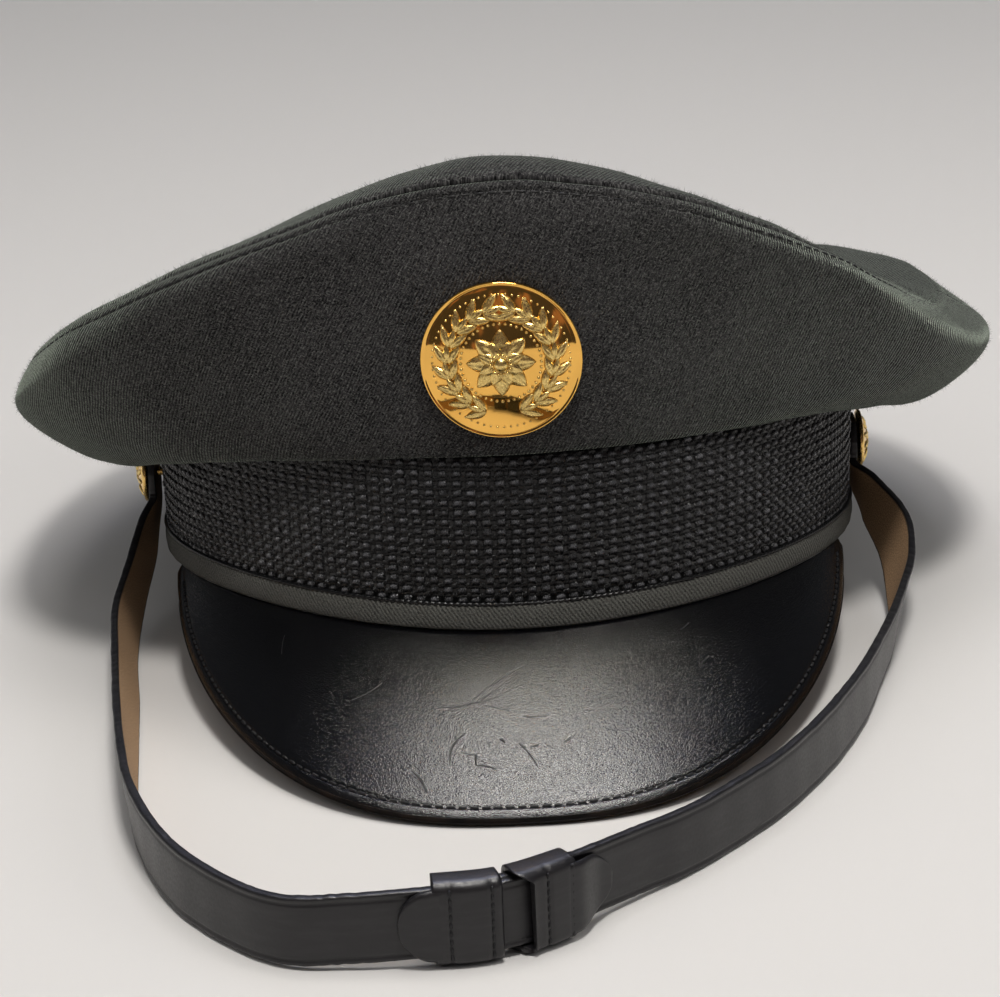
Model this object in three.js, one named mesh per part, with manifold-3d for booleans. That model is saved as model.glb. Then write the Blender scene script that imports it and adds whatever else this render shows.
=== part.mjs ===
// A peaked service cap resting on a table, with its chin strap laid round its front.
// Millimetres, +Z up. The cap's front looks along -Y and its wearer's left is +X.

import * as THREE from 'three';
import { mergeVertices } from 'three/addons/utils/BufferGeometryUtils.js';
import Module from 'manifold-3d';

const wasm = await Module();
wasm.setup();

// Clearance between pieces, and the cloth and leather they are cut from
const GAP = 0.3;
const CLOTH = 1.8;
const SEWN_EDGE = 0.8;
const BAND_WALL = 2.4;
const PEAK_WALL = 2.4;
const STRAP_WALL = 2.0;
const KEEPER_WALL = 1.4;

// Band: an oval braid-covered wall, with a cloth welt round its foot that dips at the front
const BAND_HALF_WIDTH = 91.5;
const BAND_HALF_LENGTH = 107.5;
const BAND_FLARE = 1.2;
const SEAM_HEIGHT = 38;
const WELT_HEIGHT = 6;
const WELT_OUT = 0.9;
const FRONT_DIP = 4.5;
const DIP_POWER = 4;

// Crown: how far it overhangs the band, how high its front rim stands over the seam, its rolled edge
const CROWN_OVERHANG = 38.5;
const CROWN_RISE = 67;
const CREST_ROLL = 6;
const CREST_IN = 4;
const CREST_BACK = 14;
const SIDE_SEAM_ANGLE = 92;

// Peak: a crescent that slopes forward and down from under the welt
const PEAK_HALF_WIDTH = 86.4;
const PEAK_FORWARD = 46.3;
const PEAK_DROP = 37;
const PEAK_CORNER_BACK = 40;
const PEAK_CORNER_DROP = 3;
const PEAK_CORNER_ANGLE = 68;
const PEAK_TUCK = 0;
const PEAK_BULGE = 2.2;
const PEAK_ROUND_ACROSS = 2.5;
const PEAK_ROUND_ALONG = 1.7;

// Badge: a slightly domed disc on a post, with a raised wreath and rosette
const BADGE_RADIUS = 18.7;
const BADGE_WALL = 1.3;
const BADGE_DOME = 1.6;
const BADGE_RIM = 0.7;
const BADGE_EASE = 0.4;
const BADGE_HEIGHT = 61.5;
const BADGE_STAND = 0.8;
const POST_RADIUS = 1.5;
const POST_LENGTH = 6;
const NUT_RADIUS = 6;
const NUT_WALL = 1.5;
const NUT_STAND = 0.7;
const WREATH_RADIUS = 12.4;
const LEAF_LENGTH = 5.2;
const LEAF_WIDTH = 2.2;
const LEAF_HEIGHT = 1.0;
const STEM_HALF = 0.35;
const LEAVES_A_SIDE = 7;
const ROSETTE_RADIUS = 7.2;
const PETALS = 8;
const BOSS_RADIUS = 2.1;
const BOSS_RISE = 0.4;

// Side buttons, which hold the ends of the chin strap
const BUTTON_RADIUS = 8;
const BUTTON_DOME = 2.4;
const BUTTON_EDGE = 0.8;
const BUTTON_HEIGHT = 18;
const BUTTON_LEFT_FORWARD = 5;
const BUTTON_RIGHT_FORWARD = -1;
const BUTTON_LOOSE = 0.4;
const BUTTON_BACK_INSET = 0.6;
const SHANK_RADIUS = 1.2;
const WASHER_RADIUS = 4;
const WASHER_WALL = 0.8;

// Chin strap: two lengths of leather that lap at the front inside two keepers
const STRAP_WIDTH = 15.5;
const SLACK_LEFT = 1.8;
const SLACK_RIGHT = 0.4;
const STRAP_REACH = 216;
const KEEPER_LENGTH = 13.6;
const KEEPER_LEFT_AT = -12.8;
const KEEPER_RIGHT_AT = 2.0;
const TAB_LEFT = 7;
const TAB_RIGHT = 9;
const TAB_HALF_HEIGHT = 7.2;
const STRAP_END = 1;
const SLEEVE_CORNER = 1.3;

// Crown sections, one for every 30 degrees round from the front towards +X. Each names three
// points outside the cloth by their distance out from the band, as a share of CROWN_OVERHANG, and
// up from the seam, as a share of CROWN_RISE: the hanging roll, the belly and the rim. The last
// column is the share of CREST_ROLL by which the top rises over the rim.
const CROWN_COLUMNS = ['underOut', 'underUp', 'bellyOut', 'bellyUp', 'rimOut', 'rimUp', 'roll'];
const CROWN_SECTIONS = [
  { angle: -150, row: [0.23, -0.13, 0.75, 0.07, 0.68, 0.27, 1.0] },
  { angle: -120, row: [0.25, -0.22, 0.93, 0.04, 0.90, 0.18, 1.0] },
  { angle: -90, row: [0.24, -0.27, 1.00, -0.03, 0.90, 0.12, 1.0] },
  { angle: -60, row: [0.19, -0.24, 0.93, 0.19, 0.91, 0.375, 0.6] },
  { angle: -30, row: [0.12, -0.13, 0.41, 0.58, 0.51, 0.77, 0.5] },
  { angle: 0, row: [0.08, -0.05, 0.24, 0.58, 0.37, 0.965, 0.5] },
  { angle: 30, row: [0.10, -0.03, 0.38, 0.62, 0.48, 0.79, 0.5] },
  { angle: 60, row: [0.23, -0.10, 0.70, 0.33, 0.56, 0.435, 0.6] },
  { angle: 90, row: [0.33, -0.22, 1.16, 0.09, 0.75, 0.25, 0.6] },
  { angle: 120, row: [0.28, -0.20, 1.03, 0.19, 0.85, 0.28, 0.8] },
  { angle: 150, row: [0.23, -0.10, 0.73, 0.13, 0.65, 0.24, 1.0] },
  { angle: 180, row: [0.23, -0.10, 0.68, 0.13, 0.60, 0.33, 1.0] },
];

// Chin strap route, from the left button round the front to the right one. across is a share of
// the strap's distance from the middle at its own button, along a share of STRAP_REACH from the
// buttons forward, up a share of the button's height over where the strap stands on its edge.
// lean tips the strap's upper edge towards +X and turn swings that edge from the front (0) to
// the top (90), both in degrees.
const STRAP_COLUMNS = ['across', 'along', 'up', 'lean', 'turn'];
const STRAP_ROUTE = [
  [-1.00, 0.000, 1.24, 0, 0],
  [-1.00, 0.000, 1.00, 0, 4],
  [-1.00, 0.008, 0.68, 0, 14],
  [-1.02, 0.045, 0.42, -8, 44],
  [-1.04, 0.106, 0.19, -7, 70],
  [-1.05, 0.220, 0.02, -14, 84],
  [-1.015, 0.366, 0.00, -16, 89],
  [-0.98, 0.506, 0.01, -13, 90],
  [-0.945, 0.629, 0.01, -8, 90],
  [-0.90, 0.735, 0.01, -4, 90],
  [-0.765, 0.883, 0.01, 0, 90],
  [-0.54, 0.991, 0.02, 0, 90],
  [-0.38, 1.004, 0.05, 0, 90],
  [-0.22, 1.003, 0.075, 0, 90],
  [-0.06, 0.993, 0.075, 0, 90],
  [0.085, 0.985, 0.075, 0, 90],
  [0.25, 0.923, 0.04, 0, 90],
  [0.395, 0.866, 0.01, 0, 90],
  [0.64, 0.736, 0.00, 0, 90],
  [0.84, 0.573, 0.00, 0, 90],
  [0.965, 0.421, 0.01, 6, 87],
  [1.045, 0.300, 0.05, 10, 84],
  [1.08, 0.209, 0.13, 21, 77],
  [1.085, 0.134, 0.30, 23, 66],
  [1.04, 0.058, 0.50, 13, 46],
  [1.00, 0.012, 0.70, 1, 18],
  [1.00, 0.000, 1.00, 0, 4],
  [1.00, 0.000, 1.24, 0, 0],
];

// Colours and finishes
const finish = (color, roughness, metalness) =>
  new THREE.MeshStandardMaterial({ color, roughness, metalness });
const CROWN_CLOTH = finish(0x2f3431, 0.95, 0);
const BRAID = finish(0x16171a, 0.8, 0);
const WELT_CLOTH = finish(0x2c2e29, 0.9, 0);
const PEAK_LEATHER = finish(0x0b0b0d, 0.25, 0);
const STRAP_LEATHER = finish(0x121216, 0.35, 0);
const GILT = finish(0xd9a441, 0.15, 1);
const PLAIN_BRASS = finish(0x9c7a3c, 0.4, 1);

const radians = THREE.MathUtils.degToRad;
const vector = (x, y, z) => new THREE.Vector3(x, y, z);

// Evenly spaced values from a to b, both ends included
function spread(a, b, steps) {
  return Array.from({ length: steps + 1 }, (_, i) => a + ((b - a) * i) / steps);
}

// A geometry from points and triangles, turned so that its faces look out
function geometryOf(points, triangles) {
  let volume = 0;
  for (const [a, b, c] of triangles) {
    volume += points[a].dot(points[b].clone().cross(points[c]));
  }
  const faces = volume < 0 ? triangles.map(([a, b, c]) => [a, c, b]) : triangles;
  const geometry = new THREE.BufferGeometry();
  const flat = points.flatMap((p) => [p.x, p.y, p.z]);
  geometry.setAttribute('position', new THREE.Float32BufferAttribute(flat, 3));
  geometry.setIndex(faces.flat());
  geometry.computeVertexNormals();
  return geometry;
}

// A solid swept through closed loops of points, all of one length. An open sweep gets flat ends,
// each cut into triangles as the strip between the loop's first half and its second half.
function sweep(loops, closed) {
  const n = loops[0].length;
  const points = loops.flat();
  const triangles = [];
  const last = closed ? loops.length : loops.length - 1;
  for (let i = 0; i < last; i++) {
    const next = (i + 1) % loops.length;
    for (let j = 0; j < n; j++) {
      const k = (j + 1) % n;
      const [a, b, c, d] = [i * n + j, i * n + k, next * n + k, next * n + j];
      triangles.push([a, b, c], [a, c, d]);
    }
  }
  if (!closed) {
    for (const [start, flip] of [[0, true], [(loops.length - 1) * n, false]]) {
      for (let j = 0; j < n / 2 - 1; j++) {
        const [a, b, c, d] = [j, j + 1, n - 2 - j, n - 1 - j].map((k) => start + k);
        const pair = b === c ? [[a, b, d]] : [[a, b, c], [a, c, d]];
        triangles.push(...pair.map(([p, q, r]) => (flip ? [p, r, q] : [p, q, r])));
      }
    }
  }
  return geometryOf(points, triangles);
}

// The library's solid of a closed geometry, and back
function solidOf(geometry) {
  const bare = geometry.clone();
  bare.deleteAttribute('normal');
  bare.deleteAttribute('uv');
  const merged = mergeVertices(bare, 1e-4);
  return new wasm.Manifold(new wasm.Mesh({
    numProp: 3,
    vertProperties: new Float32Array(merged.attributes.position.array),
    triVerts: new Uint32Array(merged.index.array),
  }));
}

function geometryFrom(solid) {
  const mesh = solid.getMesh();
  const geometry = new THREE.BufferGeometry();
  geometry.setAttribute('position', new THREE.BufferAttribute(mesh.vertProperties, 3));
  geometry.setIndex(new THREE.BufferAttribute(mesh.triVerts, 1));
  geometry.computeVertexNormals();
  return geometry;
}

// The rotation and place that set a piece modelled along +Z on a point, along a direction
function seat(point, direction) {
  const turn = new THREE.Quaternion().setFromUnitVectors(vector(0, 0, 1), direction);
  return new THREE.Matrix4().compose(point, turn, vector(1, 1, 1));
}

// Long enough to pass through any one wall here
const DRILL_LENGTH = BADGE_RADIUS;

function withHole(geometry, radius, point, direction) {
  const drill = new THREE.CylinderGeometry(radius, radius, DRILL_LENGTH, 16).rotateX(Math.PI / 2);
  drill.applyMatrix4(seat(point, direction));
  return geometryFrom(solidOf(geometry).subtract(solidOf(drill)));
}

// Band oval: the point at an angle from the front, moved outwards, and the outward direction
function ovalNormal(angle) {
  return vector(Math.sin(angle) / BAND_HALF_WIDTH, -Math.cos(angle) / BAND_HALF_LENGTH, 0).normalize();
}

function ovalPoint(angle, out, z) {
  const base = vector(BAND_HALF_WIDTH * Math.sin(angle), -BAND_HALF_LENGTH * Math.cos(angle), z);
  return base.addScaledVector(ovalNormal(angle), out);
}

// The band's wall flares outwards up to the seam
const bandPoint = (angle, out, z) => ovalPoint(angle, out + (BAND_FLARE * z) / SEAM_HEIGHT, z);

const dip = (angle) => FRONT_DIP * Math.max(0, Math.cos(angle)) ** DIP_POWER;

// Crown columns as trigonometric series: periodic, and true to every row
function seriesOf(values) {
  const count = values.length;
  return spread(0, count / 2, count / 2).map((order) => {
    const weight = (order === 0 || order === count / 2 ? 1 : 2) / count;
    const sum = (f) => values.reduce((s, v, i) => s + v * f(order * radians(CROWN_SECTIONS[i].angle)), 0);
    return { cos: weight * sum(Math.cos), sin: order === count / 2 ? 0 : weight * sum(Math.sin) };
  });
}

// The series at an angle, with each order fading towards the middle as in a stretched skin
function seriesAt(series, angle, share = 1) {
  return series.reduce(
    (sum, { cos, sin }, order) =>
      sum + share ** order * (cos * Math.cos(order * angle) + sin * Math.sin(order * angle)),
    0,
  );
}

const crownSeries = Object.fromEntries(
  CROWN_COLUMNS.map((name, i) => [name, seriesOf(CROWN_SECTIONS.map(({ row }) => row[i]))]),
);

const outAt = (name, angle) => CROWN_OVERHANG * seriesAt(crownSeries[name], angle);
const upAt = (name, angle, share) => SEAM_HEIGHT + CROWN_RISE * seriesAt(crownSeries[name], angle, share);
const crestUp = (angle, share) =>
  upAt('rimUp', angle, share) + CREST_ROLL * (0.2 + seriesAt(crownSeries.roll, angle, share));

// One section of the crown's outside: curves that run between the middles of its control legs.
// s runs over 0 to 4 from the band seam to the crest, and over 4 to 5 across the top to the middle.
const CREST = 4;
const MIDDLE = 5;
const RIM = 2.4;

function crownPoint(angle, s) {
  const rimOut = outAt('rimOut', angle);
  const crest = crestUp(angle, 1);
  const legs = [
    [BAND_FLARE + GAP, SEAM_HEIGHT + GAP],
    [outAt('underOut', angle), upAt('underUp', angle)],
    [outAt('bellyOut', angle), upAt('bellyUp', angle)],
    [rimOut, upAt('rimUp', angle)],
    [rimOut - CREST_IN, crest],
    [rimOut - CREST_BACK, crest],
  ];
  const along = Math.min(s, CREST);
  const i = Math.min(Math.floor(along), legs.length - 3);
  const f = along - i;
  const joint = (k) =>
    k === 0 || k === legs.length - 2
      ? legs[k === 0 ? 0 : legs.length - 1]
      : [(legs[k][0] + legs[k + 1][0]) / 2, (legs[k][1] + legs[k + 1][1]) / 2];
  const mix = (axis) =>
    (1 - f) ** 2 * joint(i)[axis] + 2 * f * (1 - f) * legs[i + 1][axis] + f * f * joint(i + 1)[axis];
  const point = ovalPoint(angle, mix(0), mix(1));
  if (s <= CREST) return point;
  const share = MIDDLE - s;
  return vector(point.x * share, point.y * share, crestUp(angle, share));
}

function crownNormal(angle, s) {
  const step = 0.01;
  const ahead = Math.min(s + step, MIDDLE - step);
  const round = crownPoint(angle + step, s).sub(crownPoint(angle - step, s));
  const up = crownPoint(angle, ahead).sub(crownPoint(angle, Math.max(0, ahead - 2 * step)));
  return round.cross(up).normalize();
}

// Cloth thickness: pressed thin where it is sewn to the band
const clothWall = (s) => SEWN_EDGE + (CLOTH - SEWN_EDGE) * Math.min(1, s / 0.5);

// The crown's wall at a step: its outside and inside points. side is -1 at the edge under the rim
// seam, 1 at the edge over it and 0 elsewhere: both edges stand half a gap off the seam.
function crownWall(angle, s, side = 0) {
  const outside = crownPoint(angle, s);
  const inside = outside.clone().addScaledVector(crownNormal(angle, s), -clothWall(s));
  if (side === 0) return [outside, inside];
  const step = 0.05;
  const back = crownPoint(angle, s + step).sub(crownPoint(angle, s - step)).setLength((side * GAP) / 2);
  return [outside.add(back), inside.add(back)];
}

const SIDE_STEPS = [0, 0.25, 0.5, 0.8, 1.1, 1.5, 1.9, RIM];
const TOP_STEPS = [RIM, 2.8, 3.2, 3.6, 4.0, 4.25, 4.5, 4.75];

// Both side panels and the top share these angles, so that their seams run together
const sideSeam = radians(SIDE_SEAM_ANGLE);
const FRONT_ANGLES = spread(-sideSeam, sideSeam, 34);
const BACK_ANGLES = spread(sideSeam, 2 * Math.PI - sideSeam, 26);

// A side panel, with half a gap taken off each of its ends
function crownSide(angles) {
  const cut = GAP / 2 / BAND_HALF_LENGTH;
  const ends = [angles[0] + cut, ...angles.slice(1, -1), angles[angles.length - 1] - cut];
  const loops = ends.map((angle) => {
    const walls = SIDE_STEPS.map((s) => crownWall(angle, s, s === RIM ? -1 : 0));
    return [...walls.map(([outside]) => outside), ...walls.map(([, inside]) => inside).reverse()];
  });
  return sweep(loops, false);
}

// The top panel: rings of outside and inside points that close on two middle points
function crownTop() {
  const angles = [...FRONT_ANGLES, ...BACK_ANGLES.slice(1, -1)];
  const steps = angles.length;
  const walls = TOP_STEPS.map((s) => angles.map((angle) => crownWall(angle, s, s === RIM ? 1 : 0)));
  const outside = walls.map((ring) => ring.map(([point]) => point));
  const inside = walls.map((ring) => ring.map(([, point]) => point));
  const rings = [...outside.reverse(), ...inside];
  const middle = crownPoint(0, MIDDLE);
  const points = [...rings.flat(), middle, middle.clone().add(vector(0, 0, -CLOTH))];
  const triangles = [];
  for (let j = 0; j < steps; j++) {
    const k = (j + 1) % steps;
    for (let i = 0; i < rings.length - 1; i++) {
      const [a, b, c, d] = [i * steps + j, i * steps + k, (i + 1) * steps + k, (i + 1) * steps + j];
      triangles.push([a, b, c], [a, c, d]);
    }
    const lastRing = (rings.length - 1) * steps;
    triangles.push([points.length - 2, k, j], [points.length - 1, lastRing + j, lastRing + k]);
  }
  return geometryOf(points, triangles);
}

// Band and welt: closed sweeps of a wall section round the oval
function band(steps) {
  const loops = spread(0, 2 * Math.PI, steps).slice(0, steps).map((angle) => {
    const foot = WELT_HEIGHT + GAP - dip(angle);
    const outside = [foot, (foot + SEAM_HEIGHT) / 2, SEAM_HEIGHT].map((z) => bandPoint(angle, 0, z));
    return [...outside, bandPoint(angle, -BAND_WALL, SEAM_HEIGHT), bandPoint(angle, -BAND_WALL, foot)];
  });
  return sweep(loops, true);
}

// Welt section: outward and upward shares of WELT_OUT and WELT_HEIGHT
const WELT_SECTION = [[-1, 0], [0.3, 0], [0.8, 0.2], [1, 0.5], [0.8, 0.8], [0.3, 1], [-1, 1]];

function welt(steps) {
  const loops = spread(0, 2 * Math.PI, steps).slice(0, steps).map((angle) =>
    WELT_SECTION.map(([out, up]) =>
      ovalPoint(angle, out < 0 ? -BAND_WALL : out * WELT_OUT, up * WELT_HEIGHT - dip(angle))));
  return sweep(loops, true);
}

// Peak: straight rules from an arc under the welt to a rounded outer edge, bulged between them
const peakFront = -(BAND_HALF_LENGTH + WELT_OUT + PEAK_FORWARD);

function peakPoint(across, share) {
  const inner = ovalPoint(across * radians(PEAK_CORNER_ANGLE), PEAK_TUCK, 0);
  inner.z = -dip(across * radians(PEAK_CORNER_ANGLE)) - GAP;
  const turn = (across * Math.PI) / 2;
  const wide = Math.sign(across) * Math.abs(Math.sin(turn)) ** (2 / PEAK_ROUND_ACROSS);
  const reach = Math.max(0, Math.cos(turn)) ** (2 / PEAK_ROUND_ALONG);
  const outer = vector(
    PEAK_HALF_WIDTH * wide,
    -PEAK_CORNER_BACK + reach * (peakFront + PEAK_CORNER_BACK),
    -PEAK_CORNER_DROP - reach * (PEAK_DROP - PEAK_CORNER_DROP),
  );
  const point = inner.lerp(outer, share);
  point.z += PEAK_BULGE * Math.sin(Math.PI * share) * Math.cos(turn);
  return point;
}

function peakNormal(across, share) {
  const step = 0.005;
  const a = THREE.MathUtils.clamp(across, -1 + step, 1 - step);
  const b = THREE.MathUtils.clamp(share, step, 1 - step);
  const side = peakPoint(a + step, b).sub(peakPoint(a - step, b));
  const out = peakPoint(a, b + step).sub(peakPoint(a, b - step));
  return out.cross(side).normalize();
}

function peak(steps) {
  const shares = spread(0, 1, 5);
  const loops = spread(-1, 1, steps).map((across) => {
    const top = shares.map((share) => peakPoint(across, share));
    const under = shares.map((share, i) =>
      top[i].clone().addScaledVector(peakNormal(across, share), -PEAK_WALL));
    return [...top, ...under.reverse()];
  });
  return sweep(loops, false);
}

// Badge, modelled along +Z with its back at zero
const domeAt = (radius) => BADGE_WALL + BADGE_DOME * (1 - (radius / BADGE_RADIUS) ** 2);

function lathe(profile, steps) {
  const points = profile.map(([radius, height]) => new THREE.Vector2(radius, height));
  return new THREE.LatheGeometry(points, steps).rotateX(Math.PI / 2);
}

// A leaf or petal with a ridge, from its foot at the origin along +X
function leaf(length, width, height) {
  const points = [
    vector(0, 0, 0), vector(length * 0.45, width / 2, 0), vector(length, 0, 0),
    vector(length * 0.45, -width / 2, 0), vector(length * 0.4, 0, height), vector(length * 0.4, 0, -height),
  ];
  const rim = [0, 1, 2, 3];
  return geometryOf(points, rim.flatMap((a) => {
    const b = (a + 1) % rim.length;
    return [[a, b, 4], [b, a, 5]];
  }));
}

function placedLeaf(shape, radius, angle, heading) {
  const height = domeAt(radius);
  return shape.clone().rotateZ(heading)
    .translate(radius * Math.cos(angle), radius * Math.sin(angle), height);
}

function badge() {
  const disc = lathe([
    [0, -POST_LENGTH], [POST_RADIUS, -POST_LENGTH], [POST_RADIUS, 0],
    [BADGE_RADIUS - BADGE_EASE, 0], [BADGE_RADIUS, BADGE_EASE], [BADGE_RADIUS, BADGE_WALL + BADGE_EASE / 2],
    [BADGE_RADIUS - BADGE_RIM, BADGE_WALL + BADGE_EASE],
    [BADGE_RADIUS - BADGE_RIM - BADGE_EASE / 2, domeAt(BADGE_RADIUS - BADGE_RIM - BADGE_EASE / 2)],
    [BADGE_RADIUS * 0.7, domeAt(BADGE_RADIUS * 0.7)], [BADGE_RADIUS * 0.35, domeAt(BADGE_RADIUS * 0.35)],
    [0, domeAt(0)],
  ], 32);
  let solid = solidOf(disc);
  const stemFoot = domeAt(WREATH_RADIUS) - LEAF_HEIGHT / 2;
  const stem = lathe([
    [WREATH_RADIUS - STEM_HALF, stemFoot], [WREATH_RADIUS + STEM_HALF, stemFoot],
    [WREATH_RADIUS, domeAt(WREATH_RADIUS) + LEAF_HEIGHT * 0.6],
    [WREATH_RADIUS - STEM_HALF, stemFoot],
  ], 24);
  solid = solid.add(solidOf(stem));
  const wreathLeaf = leaf(LEAF_LENGTH, LEAF_WIDTH, LEAF_HEIGHT);
  for (const side of [-1, 1]) {
    for (const along of spread(0.12, 0.9, LEAVES_A_SIDE - 1)) {
      const angle = -Math.PI / 2 + side * along * Math.PI;
      for (const splay of [-0.55, 0.55]) {
        const heading = angle + side * (Math.PI / 2 + splay);
        solid = solid.add(solidOf(placedLeaf(wreathLeaf, WREATH_RADIUS, angle, heading)));
      }
    }
  }
  const petal = leaf(ROSETTE_RADIUS, LEAF_WIDTH * 1.7, LEAF_HEIGHT * 1.3);
  for (const turn of spread(0, 2 * Math.PI, PETALS).slice(0, PETALS)) {
    solid = solid.add(solidOf(placedLeaf(petal, 0.6, turn, turn)));
  }
  const boss = new THREE.SphereGeometry(BOSS_RADIUS, 12, 8).scale(1, 1, 0.7)
    .translate(0, 0, domeAt(0) + BOSS_RISE);
  return geometryFrom(solid.add(solidOf(boss)));
}

// The plain nut on the badge's post, inside the crown
const nutBack = -(BADGE_STAND + CLOTH + NUT_STAND + NUT_WALL);
function badgeNut() {
  const hole = POST_RADIUS + GAP;
  return lathe([
    [hole, nutBack], [NUT_RADIUS, nutBack], [NUT_RADIUS, nutBack + NUT_WALL], [hole, nutBack + NUT_WALL],
    [hole, nutBack],
  ], 20);
}

// Side button along +Z with its back at zero: a dome, a shank through strap and band, and a washer
function button(slack) {
  const reach = -(BUTTON_LOOSE + STRAP_WALL + slack + BAND_WALL + GAP);
  return lathe([
    [0, reach - WASHER_WALL], [WASHER_RADIUS, reach - WASHER_WALL], [WASHER_RADIUS, reach],
    [SHANK_RADIUS, reach], [SHANK_RADIUS, 0],
    [BUTTON_RADIUS - BUTTON_BACK_INSET, 0], [BUTTON_RADIUS, BUTTON_EDGE * 0.5],
    [BUTTON_RADIUS - BUTTON_BACK_INSET / 3, BUTTON_EDGE],
    [BUTTON_RADIUS * 0.75, BUTTON_EDGE + BUTTON_DOME * 0.5],
    [BUTTON_RADIUS * 0.4, BUTTON_EDGE + BUTTON_DOME * 0.88], [0, BUTTON_EDGE + BUTTON_DOME],
  ], 20);
}

// Rest: the cap leans back until its peak's front edge and its welt's back both touch the table
const rear = BAND_HALF_LENGTH + WELT_SECTION[1][0] * WELT_OUT;
const restTilt = Math.max(...peak(40).attributes.position.array.reduce((all, value, i, flat) => {
  if (i % 3 === 0) all.push(Math.atan2(-flat[i + 2], rear - flat[i + 1]));
  return all;
}, []));
const cap = new THREE.Group();
cap.rotation.x = -restTilt;
cap.position.set(0, -rear * Math.cos(restTilt), rear * Math.sin(restTilt));
cap.updateMatrix();

// Side buttons sit on the band's sides. The strap's middle line passes half a lap off each strap.
const LAP = STRAP_WALL + GAP;
const SIDES = [
  { name: 'left', side: -1, slack: SLACK_LEFT, forward: BUTTON_LEFT_FORWARD, lap: LAP / 2 },
  { name: 'right', side: 1, slack: SLACK_RIGHT, forward: BUTTON_RIGHT_FORWARD, lap: -LAP / 2 },
];
for (const entry of SIDES) {
  const angle = entry.side * Math.acos(entry.forward / BAND_HALF_LENGTH);
  entry.direction = ovalNormal(angle);
  entry.face = (out) => bandPoint(angle, out, BUTTON_HEIGHT);
  entry.backOut = entry.slack + STRAP_WALL + BUTTON_LOOSE;
  entry.start = entry.face(entry.slack + STRAP_WALL / 2 - entry.lap).applyMatrix4(cap.matrix);
}

// Chin strap route as a centripetal spline through its rows, in the table's frame
const standing = STRAP_WIDTH / 2 + GAP;
const routeRows = STRAP_ROUTE.map((row) => {
  const value = Object.fromEntries(STRAP_COLUMNS.map((name, i) => [name, row[i]]));
  const { start } = SIDES[value.across < 0 ? 0 : 1];
  return [
    Math.abs(start.x) * value.across,
    start.y - STRAP_REACH * value.along,
    standing + (start.z - standing) * value.up,
    value.lean,
    value.turn,
  ];
});

function routeAt(u) {
  const last = routeRows.length - 1;
  const i = Math.min(Math.floor(u), last - 1);
  const mirror = (a, b) => a.map((value, k) => 2 * value - b[k]);
  const p1 = routeRows[i];
  const p2 = routeRows[i + 1];
  const p0 = i > 0 ? routeRows[i - 1] : mirror(p1, p2);
  const p3 = i + 2 <= last ? routeRows[i + 2] : mirror(p2, p1);
  const span = (a, b) => Math.sqrt(Math.hypot(a[0] - b[0], a[1] - b[1], a[2] - b[2]));
  const [d0, d1, d2] = [span(p0, p1), span(p1, p2), span(p2, p3)];
  const f = u - i;
  return p1.map((_, k) => {
    const slopeIn = (p1[k] - p0[k]) / d0 - (p2[k] - p0[k]) / (d0 + d1) + (p2[k] - p1[k]) / d1;
    const slopeOut = (p2[k] - p1[k]) / d1 - (p3[k] - p1[k]) / (d1 + d2) + (p3[k] - p2[k]) / d2;
    const [m1, m2] = [slopeIn * d1, slopeOut * d1];
    const rise = p2[k] - p1[k];
    return p1[k] + m1 * f + (3 * rise - 2 * m1 - m2) * f * f + (m1 + m2 - 2 * rise) * f ** 3;
  });
}

// Place on the route: middle, direction onwards, direction across the strap and outward normal
function routeFrame(u) {
  const last = routeRows.length - 1;
  const [x, y, z, lean, turn] = routeAt(u);
  const [ahead, behind] = [Math.min(u + 0.02, last), Math.max(u - 0.02, 0)];
  const placeAt = (value) => vector(...routeAt(value).slice(0, 3));
  const onward = placeAt(ahead).sub(placeAt(behind)).normalize();
  const [a, b] = [radians(lean), radians(turn)];
  const across = vector(Math.sin(a), -Math.cos(a) * Math.cos(b), Math.cos(a) * Math.sin(b));
  across.addScaledVector(onward, -across.dot(onward)).normalize();
  return { middle: vector(x, y, z), onward, across, normal: onward.clone().cross(across) };
}

function routeOffset(frame, out, over) {
  return frame.middle.clone().addScaledVector(frame.normal, out).addScaledVector(frame.across, over);
}

// Where the route crosses an X coordinate at the front, where X only grows along it
function routeAtX(x) {
  let [low, high] = [4, routeRows.length - 5];
  for (let i = 0; i < 40; i++) {
    const middle = (low + high) / 2;
    if (routeAt(middle)[0] < x) low = middle;
    else high = middle;
  }
  return (low + high) / 2;
}

// Keepers: each sits round a stretch of the route, KEEPER_LENGTH long
function routeStretch(atX, length) {
  const centre = routeAtX(atX);
  const pace = vector(...routeAt(centre + 0.05).slice(0, 3)).distanceTo(
    vector(...routeAt(centre - 0.05).slice(0, 3))) / 0.1;
  return [centre - length / 2 / pace, centre + length / 2 / pace];
}

const KEEPERS = [
  { name: 'keeper_left', span: routeStretch(KEEPER_LEFT_AT, KEEPER_LENGTH), tabSide: -1, tab: TAB_LEFT },
  { name: 'keeper_right', span: routeStretch(KEEPER_RIGHT_AT, KEEPER_LENGTH), tabSide: 1, tab: TAB_RIGHT },
];

function strapLoops(from, to, steps, offset) {
  return spread(from, to, steps).map((u) => {
    const frame = routeFrame(u);
    return [[1, -1], [1, 1], [-1, 1], [-1, -1]].map(([out, over]) =>
      routeOffset(frame, offset + (out * STRAP_WALL) / 2, (over * STRAP_WIDTH) / 2));
  });
}

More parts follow.
